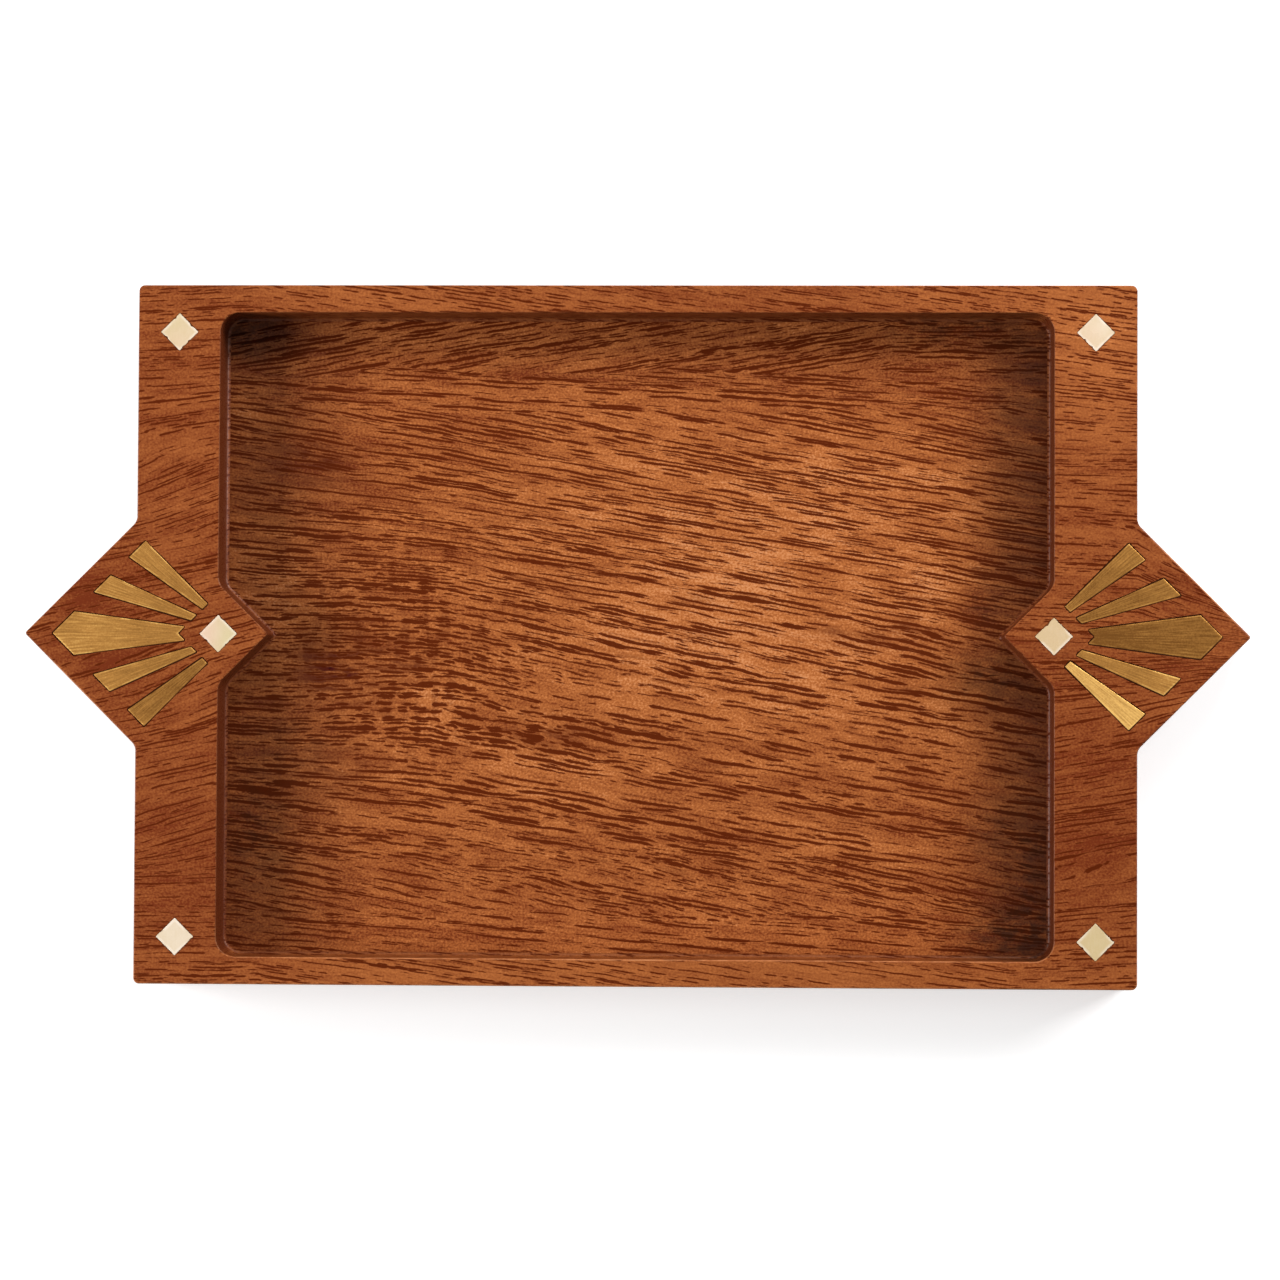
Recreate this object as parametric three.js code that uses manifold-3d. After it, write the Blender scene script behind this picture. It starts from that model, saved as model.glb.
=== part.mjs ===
// A small serving tray, routed out of one hardwood slab. A square set on its
// corner makes a pointed handle at each end, and each handle carries a fan of
// five brass rays and one mother-of-pearl diamond. Four more diamonds sit in
// the corners of the rim.
//
// Millimetres. +X runs along the tray, +Y across it and +Z up. The origin is
// at the centre of the underside.

import * as THREE from 'three';
import { mergeVertices } from 'three/addons/utils/BufferGeometryUtils.js';
import Module from 'manifold-3d';

// Slab, without its handles
const body_length = 254;
const body_width = 178;
const slab_thickness = 19;
const body_corner_radius = 1.5;

// Handles: how far each point stands out past the slab's end, and how far its
// inner point stands into the pocket past the pocket's end wall
const handle_outer_reach = 28.6;
const handle_inner_reach = 12.7;
const handle_root_radius = 3.2;
const handle_point_radius = 0.7;

// Pocket: the top of the rim at the ends and along the sides, the depth, the
// corner radius that the cutter leaves, and the small cove round the floor
const end_rim = 21;
const side_rim = 7;
const pocket_depth = 12;
const pocket_corner_radius = 5;
const floor_cove_radius = 1;

// Every sharp edge of the wood is eased by this much
const eased_edge = 0.4;

// Mother-of-pearl diamonds: side, thickness, and how far the corner ones are
// set in from the slab's long side
const pearl_side = 6.8;
const pearl_thickness = 1.5;
const corner_pearl_inset = 12;

// Brass rays: thickness, wood left between a ray and the handle's edge, and
// wood left between a ray and the diamond that the fan opens from
const brass_thickness = 1.6;
const ray_edge_margin = 5.1;
const ray_pearl_gap = 3.9;

// Directions of the rays in degrees from the tray's long axis, with half of
// the angle that each ray opens by
const centre_ray_half_angle = 7.6;
const middle_ray_angle = 20.2;
const middle_ray_half_angle = 4.3;
const outer_ray_angle = 40;
const outer_ray_half_angle = 5;

// Dark line of glue between each inlay and the wood
const glue_line = 0.3;

// How far a cut runs on past the face that it opens
const cut_overrun = 2;

// Smoothness of the round stretches
const arc_step_angle = 9;
const cove_steps = 4;
const eased_edge_steps = 3;

const half_length = body_length / 2;
const half_width = body_width / 2;
const pocket_half_length = half_length - end_rim;
const pocket_half_width = half_width - side_rim;
const pearl_half_diagonal = pearl_side / Math.SQRT2;

// The handle's diamond is centred on the line of the pocket's end wall, and
// the sides of the rays all aim at the diamond's inner corner
const handle_pearl_x = pocket_half_length;
const fan_focus_x = handle_pearl_x - pearl_half_diagonal;
const corner_pearl_x = half_length - end_rim / 2;
const corner_pearl_y = half_width - corner_pearl_inset;

// Where the rays end, measured from the focus along the tray's axis
const ray_inner_reach = 2 * pearl_half_diagonal + ray_pearl_gap * Math.SQRT2;
const ray_outer_reach = half_length + handle_outer_reach - ray_edge_margin * Math.SQRT2 - fan_focus_x;

const wood = new THREE.MeshStandardMaterial({ color: 0x9c5427, roughness: 0.45, metalness: 0 });
const brass = new THREE.MeshStandardMaterial({ color: 0xb8924a, roughness: 0.35, metalness: 1 });
const pearl = new THREE.MeshStandardMaterial({ color: 0xf0dfc4, roughness: 0.25, metalness: 0 });

const wasm = await Module();
wasm.setup();

// Points of a closed outline through the given corners, counter-clockwise,
// each corner rounded by its own radius
function roundedOutline(corners) {
  return corners.flatMap(({ x, y, radius }, index) => {
    const corner = new THREE.Vector2(x, y);
    if (radius === 0) {
      return [corner];
    }
    const before = corners.at(index - 1);
    const after = corners[(index + 1) % corners.length];
    const to_before = new THREE.Vector2(before.x, before.y).sub(corner).normalize();
    const to_after = new THREE.Vector2(after.x, after.y).sub(corner).normalize();
    const half_opening = Math.acos(to_before.dot(to_after)) / 2;
    const middle = to_before.clone().add(to_after).normalize();
    const centre = corner.clone().addScaledVector(middle, radius / Math.sin(half_opening));
    const start = corner.clone().addScaledVector(to_before, radius / Math.tan(half_opening));
    const left_turn = to_after.cross(to_before) > 0;
    const sweep = (Math.PI - 2 * half_opening) * (left_turn ? 1 : -1);
    const steps = Math.ceil(Math.abs(THREE.MathUtils.radToDeg(sweep)) / arc_step_angle);
    return Array.from({ length: steps + 1 }, (_, step) =>
      start.clone().rotateAround(centre, (sweep * step) / steps));
  });
}

// The same corners seen in a mirror across the tray's middle, so that a list
// drawn for the +X end serves for the -X end
function otherEnd(corners) {
  return corners.map((corner) => ({ ...corner, x: -corner.x })).reverse();
}

// Moves every side of a counter-clockwise outline outwards by the same distance
function grownOutline(points, distance) {
  return points.map((point, index) => {
    const along_in = point.clone().sub(points.at(index - 1)).normalize();
    const along_out = points[(index + 1) % points.length].clone().sub(point).normalize();
    const normal_in = new THREE.Vector2(along_in.y, -along_in.x);
    const normal_out = new THREE.Vector2(along_out.y, -along_out.x);
    const miter = normal_in.clone().add(normal_out);
    return point.clone().addScaledVector(miter, distance / (1 + normal_in.dot(normal_out)));
  });
}

// A straight-sided plate with its underside at z = 0
function plate(points, thickness) {
  return new THREE.ExtrudeGeometry(new THREE.Shape(points), { depth: thickness, bevelEnabled: false });
}

function toSolid(geometry) {
  const bare = geometry.clone();
  bare.deleteAttribute('normal');
  bare.deleteAttribute('uv');
  const merged = mergeVertices(bare);
  return new wasm.Manifold(new wasm.Mesh({
    numProp: 3,
    vertProperties: new Float32Array(merged.attributes.position.array),
    triVerts: new Uint32Array(merged.index.array),
  }));
}

function toGeometry(solid) {
  const mesh = solid.getMesh();
  const geometry = new THREE.BufferGeometry();
  geometry.setAttribute('position', new THREE.BufferAttribute(mesh.vertProperties, 3));
  geometry.setIndex(new THREE.BufferAttribute(mesh.triVerts, 1));
  geometry.computeVertexNormals();
  return geometry;
}

// Outside of the slab seen from above, with the pointed handles
function slabOutline() {
  const right_end = [
    { x: half_length, y: -half_width, radius: body_corner_radius },
    { x: half_length, y: -handle_outer_reach, radius: handle_root_radius },
    { x: half_length + handle_outer_reach, y: 0, radius: handle_point_radius },
    { x: half_length, y: handle_outer_reach, radius: handle_root_radius },
    { x: half_length, y: half_width, radius: body_corner_radius },
  ];
  return roundedOutline([...right_end, ...otherEnd(right_end)]);
}

// Wall of the pocket seen from above: the round cutter leaves its radius in
// every inside corner and leaves the handles' inner points sharp
function pocketOutline() {
  const right_end = [
    { x: pocket_half_length, y: -pocket_half_width, radius: pocket_corner_radius },
    { x: pocket_half_length, y: -handle_inner_reach, radius: pocket_corner_radius },
    { x: pocket_half_length - handle_inner_reach, y: 0, radius: 0 },
    { x: pocket_half_length, y: handle_inner_reach, radius: pocket_corner_radius },
    { x: pocket_half_length, y: pocket_half_width, radius: pocket_corner_radius },
  ];
  return roundedOutline([...right_end, ...otherEnd(right_end)]);
}

// The slab before any cut, with its top and bottom edges eased
function slabBlank() {
  return new THREE.ExtrudeGeometry(new THREE.Shape(slabOutline()), {
    depth: slab_thickness - 2 * eased_edge,
    bevelThickness: eased_edge,
    bevelSize: eased_edge,
    bevelOffset: -eased_edge,
    bevelSegments: eased_edge_steps,
  }).translate(0, 0, eased_edge);
}

// What the cutter takes out for the pocket: its lower edge is round and leaves
// the cove, and it runs out through the slab's top
function pocketCut() {
  return new THREE.ExtrudeGeometry(new THREE.Shape(pocketOutline()), {
    depth: pocket_depth - floor_cove_radius + cut_overrun,
    bevelThickness: floor_cove_radius,
    bevelSize: floor_cove_radius,
    bevelOffset: -floor_cove_radius,
    bevelSegments: cove_steps,
  }).translate(0, 0, slab_thickness - pocket_depth + floor_cove_radius);
}

// Flares the pocket's mouth, which eases the inner edge of the rim
function rimEdgeCut() {
  return new THREE.ExtrudeGeometry(new THREE.Shape(pocketOutline()), {
    depth: cut_overrun,
    bevelThickness: eased_edge,
    bevelSize: eased_edge,
    bevelSegments: 1,
  }).translate(0, 0, slab_thickness);
}

// Corners of a diamond about its own centre
function pearlOutline() {
  return [
    new THREE.Vector2(0, -pearl_half_diagonal),
    new THREE.Vector2(pearl_half_diagonal, 0),
    new THREE.Vector2(0, pearl_half_diagonal),
    new THREE.Vector2(-pearl_half_diagonal, 0),
  ];
}

// Point in a direction from the focus, on the square line that crosses the
// tray's axis at the given reach and runs parallel to the handle's edges
function facetPoint(angle, reach) {
  const radians = THREE.MathUtils.degToRad(angle);
  const across = Math.cos(radians) + Math.abs(Math.sin(radians));
  return new THREE.Vector2(Math.cos(radians), Math.sin(radians)).multiplyScalar(reach / across);
}

// Outline of a ray about the focus. A ray that crosses the axis gets a point
// at its outer end and a notch at its inner end.
function rayOutline(angle, half_angle) {
  const low = angle - half_angle;
  const high = angle + half_angle;
  const crosses_axis = low < 0 && high > 0;
  return [
    facetPoint(low, ray_inner_reach),
    facetPoint(low, ray_outer_reach),
    ...(crosses_axis ? [facetPoint(0, ray_outer_reach)] : []),
    facetPoint(high, ray_outer_reach),
    facetPoint(high, ray_inner_reach),
    ...(crosses_axis ? [facetPoint(0, ray_inner_reach)] : []),
  ];
}

// An outline drawn for the +X end, turned over for the -X end
function facing(points, end) {
  return end > 0 ? points : points.map((point) => new THREE.Vector2(-point.x, point.y)).reverse();
}

// Every inlay with its outline, thickness, material and place on the rim
function listInlays() {
  const inlays = [];
  const rays = [
    { name: 'centre_ray', angle: 0, half_angle: centre_ray_half_angle },
    { name: 'back_middle_ray', angle: middle_ray_angle, half_angle: middle_ray_half_angle },
    { name: 'front_middle_ray', angle: -middle_ray_angle, half_angle: middle_ray_half_angle },
    { name: 'back_outer_ray', angle: outer_ray_angle, half_angle: outer_ray_half_angle },
    { name: 'front_outer_ray', angle: -outer_ray_angle, half_angle: outer_ray_half_angle },
  ];
  for (const [end_name, end] of [['left', -1], ['right', 1]]) {
    for (const { name, angle, half_angle } of rays) {
      inlays.push({
        name: `${end_name}_${name}`,
        outline: facing(rayOutline(angle, half_angle), end),
        thickness: brass_thickness,
        material: brass,
        x: end * fan_focus_x,
        y: 0,
      });
    }
    const pearls = [
      { name: 'handle_pearl', x: handle_pearl_x, y: 0 },
      { name: 'back_corner_pearl', x: corner_pearl_x, y: corner_pearl_y },
      { name: 'front_corner_pearl', x: corner_pearl_x, y: -corner_pearl_y },
    ];
    for (const { name, x, y } of pearls) {
      inlays.push({
        name: `${end_name}_${name}`,
        outline: pearlOutline(),
        thickness: pearl_thickness,
        material: pearl,
        x: end * x,
        y,
      });
    }
  }
  return inlays;
}

// The shallow recess that an inlay is glued into, wider by the glue line
function recessCut({ outline, thickness, x, y }) {
  return plate(grownOutline(outline, glue_line), thickness + cut_overrun)
    .translate(x, y, slab_thickness - thickness);
}

function trayBody(inlays) {
  const cuts = [pocketCut(), rimEdgeCut(), ...inlays.map(recessCut)];
  const solid = cuts.reduce((rest, cut) => rest.subtract(toSolid(cut)), toSolid(slabBlank()));
  const mesh = new THREE.Mesh(toGeometry(solid), wood);
  mesh.name = 'tray_body';
  return mesh;
}

// An inlay lies on the floor of its recess with its face level with the rim
function inlayMesh({ name, outline, thickness, material, x, y }) {
  const mesh = new THREE.Mesh(plate(outline, thickness), material);
  mesh.name = name;
  mesh.position.set(x, y, slab_thickness - thickness);
  return mesh;
}

const tray = new THREE.Group();
const inlays = listInlays();
tray.add(trayBody(inlays), ...inlays.map(inlayMesh));

export default tray;
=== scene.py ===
"""The looks of a small serving tray. One slab of hardwood has a pocket routed out of it and a
pointed handle at each end. Each handle carries a fan of five brass rays and a diamond of
mother-of-pearl, and four more diamonds sit in the corners of the rim.

Lengths are in millimetres up to the moment that a mesh is made, and a mesh is in metres.
"""

import math

import bpy
import numpy as np
from mathutils import Euler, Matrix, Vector
from mathutils.geometry import delaunay_2d_cdt


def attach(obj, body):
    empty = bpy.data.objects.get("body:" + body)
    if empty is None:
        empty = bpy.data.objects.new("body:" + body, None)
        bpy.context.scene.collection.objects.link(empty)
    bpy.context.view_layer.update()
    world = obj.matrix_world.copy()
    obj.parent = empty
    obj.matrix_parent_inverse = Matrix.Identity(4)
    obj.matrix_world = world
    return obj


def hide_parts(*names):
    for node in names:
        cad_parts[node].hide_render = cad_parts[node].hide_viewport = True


MILLIMETRE = 0.001

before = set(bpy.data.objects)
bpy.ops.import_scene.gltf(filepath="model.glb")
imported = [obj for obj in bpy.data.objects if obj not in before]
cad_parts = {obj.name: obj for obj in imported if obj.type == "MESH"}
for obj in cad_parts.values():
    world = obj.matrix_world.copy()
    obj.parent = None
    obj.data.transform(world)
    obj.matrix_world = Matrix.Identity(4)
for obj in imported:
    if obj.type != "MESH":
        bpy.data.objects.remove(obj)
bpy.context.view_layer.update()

# Sizes of the slab, its pocket and its handles

HALF_LENGTH = 127.0
HALF_WIDTH = 89.0
THICKNESS = 19.0
BODY_CORNER_RADIUS = 1.5
HANDLE_OUTER_REACH = 28.6
HANDLE_INNER_REACH = 12.7
HANDLE_ROOT_RADIUS = 3.2
HANDLE_POINT_RADIUS = 0.7
INNER_POINT_RADIUS = 0.6
END_RIM = 21.0
SIDE_RIM = 7.0
POCKET_DEPTH = 12.0
POCKET_CORNER_RADIUS = 5.0
COVE_RADIUS = 1.0
EASED_EDGE = 0.4
POCKET_HALF_LENGTH = HALF_LENGTH - END_RIM
POCKET_HALF_WIDTH = HALF_WIDTH - SIDE_RIM
FLOOR_HEIGHT = THICKNESS - POCKET_DEPTH

# Sizes and places of the inlays

PEARL_SIDE = 6.8
PEARL_HALF_DIAGONAL = PEARL_SIDE / math.sqrt(2)
PEARL_THICKNESS = 1.5
CORNER_PEARL_SET_BACK = 12.0
CORNER_PEARL_X = HALF_LENGTH - END_RIM / 2
CORNER_PEARL_Y = HALF_WIDTH - CORNER_PEARL_SET_BACK
BRASS_THICKNESS = 1.6
GLUE_LINE = 0.3
# How far the rays stay clear of the pearl's sides and of the handle's sides
PEARL_TO_RAYS = 3.9
RAYS_TO_HANDLE_SIDE = 5.1
# The rays' ends lie on lines |x| + |y| = reach, with x and y measured from the fan's focus
FAN_FOCUS_X = POCKET_HALF_LENGTH - PEARL_HALF_DIAGONAL
HANDLE_TIP_X = HALF_LENGTH + HANDLE_OUTER_REACH
RAY_INNER_REACH = 2 * PEARL_HALF_DIAGONAL + PEARL_TO_RAYS * math.sqrt(2)
RAY_OUTER_REACH = HANDLE_TIP_X - RAYS_TO_HANDLE_SIDE * math.sqrt(2) - FAN_FOCUS_X

# Each ray's direction from the tray's long axis and half of the angle that it opens by
RAYS = {
    "centre_ray": (0.0, 7.6),
    "back_middle_ray": (20.2, 4.3),
    "front_middle_ray": (-20.2, 4.3),
    "back_outer_ray": (40.0, 5.0),
    "front_outer_ray": (-40.0, 5.0),
}

# Corners of the inlays: each is wider than the rounded edge that runs round it
PEARL_CORNER_RADIUS = 0.30
BRASS_CORNER_RADIUS = 0.22
NOTCH_RADIUS = 0.36

# How finely the outlines and edges are drawn
ARC_STEPS = 10
SIDE_STEPS = 60
INLAY_SIDE_STEPS = 60
EDGE_STEPS = 5
INLAY_EDGE_STEPS = 3
# Width of the narrow flat band that ends every rounded edge
EDGE_BAND = 0.08
# The least size that a wave of a wandering edge may draw, where the greatest is 1
LEAST_WAVE = 0.4


# Outlines


def unit(vectors):
    """Each vector divided by its own length."""
    return vectors / np.linalg.norm(vectors, axis=-1, keepdims=True)


def rounded_outline(corners, side_steps):
    """Points of a closed counter-clockwise outline, with the outward direction at each.

    A corner is (x, y, radius). Where the outline turns by an angle, the corner is an arc: its
    centre plus the radius times a direction that swings from the normal of one side to the
    normal of the next. Evenly spaced points fill the straight sides between the arcs.
    """
    xy = np.array([corner[:2] for corner in corners], float)
    radius = np.array([corner[2] for corner in corners], float)
    along_in = unit(xy - np.roll(xy, 1, axis=0))
    along_out = np.roll(along_in, -1, axis=0)
    crossed = along_in[:, 0] * along_out[:, 1] - along_in[:, 1] * along_out[:, 0]
    turn = np.arctan2(crossed, (along_in * along_out).sum(axis=1))
    hand = np.sign(turn)
    normal_in = np.stack([along_in[:, 1], -along_in[:, 0]], axis=1)
    start = xy - along_in * (radius * np.abs(np.tan(turn / 2)))[:, None]
    centre = start - normal_in * (hand * radius)[:, None]
    swing = np.arctan2(normal_in[:, 1], normal_in[:, 0])[:, None]
    swing = swing + turn[:, None] * np.linspace(0, 1, ARC_STEPS + 1)
    arc_normals = np.stack([np.cos(swing), np.sin(swing)], axis=-1)
    arcs = centre[:, None] + arc_normals * (hand * radius)[:, None, None]
    share = (np.arange(1, side_steps) / side_steps)[None, :, None]
    side_ends = np.roll(arcs[:, :1], -1, axis=0)
    sides = arcs[:, -1:] * (1 - share) + side_ends * share
    side_normals = np.repeat(arc_normals[:, -1:], side_steps - 1, axis=1)
    points = np.concatenate([arcs, sides], axis=1).reshape(-1, 2)
    normals = np.concatenate([arc_normals, side_normals], axis=1).reshape(-1, 2)
    return points, normals


def both_ends(corners):
    """The corners of the +X end, followed by the same corners seen in a mirror at -X."""
    mirrored = [(-x, y, radius) for x, y, radius in reversed(corners)]
    return corners + mirrored


def slab_outline():
    """Outside of the slab from above: a rectangle with a square point at each end."""
    reach = HANDLE_OUTER_REACH
    return rounded_outline(both_ends([
        (HALF_LENGTH, -HALF_WIDTH, BODY_CORNER_RADIUS),
        (HALF_LENGTH, -reach, HANDLE_ROOT_RADIUS),
        (HALF_LENGTH + reach, 0.0, HANDLE_POINT_RADIUS),
        (HALF_LENGTH, reach, HANDLE_ROOT_RADIUS),
        (HALF_LENGTH, HALF_WIDTH, BODY_CORNER_RADIUS),
    ]), SIDE_STEPS)


def pocket_outline():
    """Wall of the pocket from above: the handles' inner points stand into a rectangle."""
    reach = HANDLE_INNER_REACH
    return rounded_outline(both_ends([
        (POCKET_HALF_LENGTH, -POCKET_HALF_WIDTH, POCKET_CORNER_RADIUS),
        (POCKET_HALF_LENGTH, -reach, POCKET_CORNER_RADIUS),
        (POCKET_HALF_LENGTH - reach, 0.0, INNER_POINT_RADIUS),
        (POCKET_HALF_LENGTH, reach, POCKET_CORNER_RADIUS),
        (POCKET_HALF_LENGTH, POCKET_HALF_WIDTH, POCKET_CORNER_RADIUS),
    ]), SIDE_STEPS)


def facet_point(angle, reach):
    """Point in a direction from the fan's focus, on the line |x| + |y| = reach."""
    radians = math.radians(angle)
    across = math.cos(radians) + abs(math.sin(radians))
    return reach * math.cos(radians) / across, reach * math.sin(radians) / across


def ray_corners(angle, half_angle):
    """Corners of a ray about the fan's focus. The centre ray has a point and a notch."""
    low = angle - half_angle
    high = angle + half_angle
    round_corner = (BRASS_CORNER_RADIUS,)
    corners = [facet_point(low, RAY_INNER_REACH) + round_corner]
    corners += [facet_point(low, RAY_OUTER_REACH) + round_corner]
    if low < 0 < high:
        corners += [facet_point(0, RAY_OUTER_REACH) + round_corner]
    corners += [facet_point(high, RAY_OUTER_REACH) + round_corner]
    corners += [facet_point(high, RAY_INNER_REACH) + round_corner]
    if low < 0 < high:
        corners += [facet_point(0, RAY_INNER_REACH) + (NOTCH_RADIUS,)]
    return corners


def diamond_corners():
    """Corners of a pearl diamond about its own centre."""
    reach = PEARL_HALF_DIAGONAL
    return [(0.0, -reach, PEARL_CORNER_RADIUS), (reach, 0.0, PEARL_CORNER_RADIUS),
            (0.0, reach, PEARL_CORNER_RADIUS), (-reach, 0.0, PEARL_CORNER_RADIUS)]


def placed_outline(corners, end, x, y):
    """An outline drawn for the +X end, turned over for the -X end and put in its place."""
    if end < 0:
        corners = [(-cx, cy, radius) for cx, cy, radius in reversed(corners)]
    moved = [(cx + x, cy + y, radius) for cx, cy, radius in corners]
    return rounded_outline(moved, INLAY_SIDE_STEPS)


def wandering(count, seed, waves):
    """A smooth closed wander between -1 and 1: a sum of sines with seeded phases and sizes.

    Term k is size sin(2 pi k s + phase) / sqrt(k), with s the share of the way round.
    """
    dice = np.random.RandomState(seed)
    share = np.arange(count) / count
    order = np.arange(1, waves + 1)
    phase = dice.uniform(0, 2 * np.pi, waves)
    size = dice.uniform(LEAST_WAVE, 1.0, waves) / np.sqrt(order)
    terms = size[:, None] * np.sin(2 * np.pi * order[:, None] * share + phase[:, None])
    total = terms.sum(axis=0)
    return total / np.abs(total).max()


# Meshes

# How flat faces are filled: inside the outer ring only, with points this near taken as one
INSIDE_ONLY = 1
SAME_POINT = 1e-7


class Shell:
    """Gathers the points and faces of one closed surface, ring by ring."""

    def __init__(self):
        self.points = []
        self.faces = []
        self.smooth = []
        self.count = 0

    def rings(self, points, normals, profile):
        """Carries a profile of (outwards, height) round an outline.

        A ring is the outline's points moved along their own outward directions and lifted to
        the height. Either number may also be an array with one value for each point.
        """
        first = self.count
        for outwards, height in profile:
            spread = np.broadcast_to(outwards, len(points))[:, None]
            lifted = np.broadcast_to(height, len(points))[:, None]
            self.points.append(np.hstack([points + normals * spread, lifted]))
            self.count += len(points)
        return np.arange(first, self.count).reshape(len(profile), len(points))

    def skin(self, rings, closed=False):
        """Four-sided faces between each ring and the next, and round again if closed."""
        if closed:
            rings = np.vstack([rings, rings[:1]])
        here, there = rings[:-1], rings[1:]
        faces = np.stack([
            here, np.roll(here, -1, axis=1), np.roll(there, -1, axis=1), there], axis=-1)
        self.faces += faces.reshape(-1, 4).tolist()
        self.smooth += [True] * faces[..., 0].size

    def cover(self, outside, holes=(), faces_up=True):
        """Flat triangles between the outside ring and the rings of the holes in it.

        The rings' sides are kept as edges, and the triangles inside a hole are left out.
        """
        loops = [outside, *holes]
        ring = np.concatenate(loops)
        flat = np.concatenate(self.points)[ring, :2]
        firsts = np.cumsum([0] + [len(loop) for loop in loops])
        edges = np.concatenate([
            np.stack([np.arange(len(loop)), np.roll(np.arange(len(loop)), -1)], axis=1) + first
            for loop, first in zip(loops, firsts)])
        corners = [Vector(point) for point in flat]
        result = delaunay_2d_cdt(corners, edges.tolist(), [], INSIDE_ONLY, SAME_POINT)
        origin = np.array([sources[0] for sources in result[3]])
        triangles = origin[np.array(result[2])]
        middle = flat[triangles].mean(axis=1)
        for number in range(1, len(loops)):
            hole = flat[firsts[number]:firsts[number + 1]]
            kept = ~inside(middle, hole)
            triangles, middle = triangles[kept], middle[kept]
        a, b, c = flat[triangles[:, 0]], flat[triangles[:, 1]], flat[triangles[:, 2]]
        area = (b[:, 0] - a[:, 0]) * (c[:, 1] - a[:, 1]) - (b[:, 1] - a[:, 1]) * (c[:, 0] - a[:, 0])
        wrong = (area < 0) == faces_up
        triangles[wrong] = triangles[wrong][:, ::-1]
        self.faces += ring[triangles].tolist()
        self.smooth += [False] * len(triangles)

    def piece(self, name, finish):
        """The finished piece, riding on the tray's one body."""
        mesh = bpy.data.meshes.new(name)
        points = np.concatenate(self.points) * MILLIMETRE
        mesh.from_pydata(points.tolist(), [], self.faces)
        mesh.polygons.foreach_set("use_smooth", self.smooth)
        mesh.materials.append(finish)
        mesh.validate()
        mesh.update()
        piece = bpy.data.objects.new(name, mesh)
        bpy.context.scene.collection.objects.link(piece)
        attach(piece, "root")
        return piece


def inside(points, loop):
    """Whether each point lies inside a closed loop, by counting the sides that a line from
    the point towards +X crosses. A side along X is never crossed, so its rise can be 1."""
    start, end = loop, np.roll(loop, -1, axis=0)
    x, y = points[:, :1], points[:, 1:]
    straddles = (start[:, 1] > y) != (end[:, 1] > y)
    rise = end[:, 1] - start[:, 1]
    rise = np.where(rise == 0, 1.0, rise)
    crossing = start[:, 0] + (y - start[:, 1]) * (end[:, 0] - start[:, 0]) / rise
    return (straddles & (x < crossing)).sum(axis=1) % 2 == 1


def quarter_round(radius, steps):
    """(set back, drop) pairs of a quarter circle: radius (1 - sin a) and radius (1 - cos a),
    from a = 90 degrees, where the set back is nothing, to a = 0, where the drop is."""
    angle = np.linspace(np.pi / 2, 0, steps + 1)[:, None]
    return np.hstack([1 - np.sin(angle), 1 - np.cos(angle)])[:, :, None] * radius


# Finishes


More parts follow.
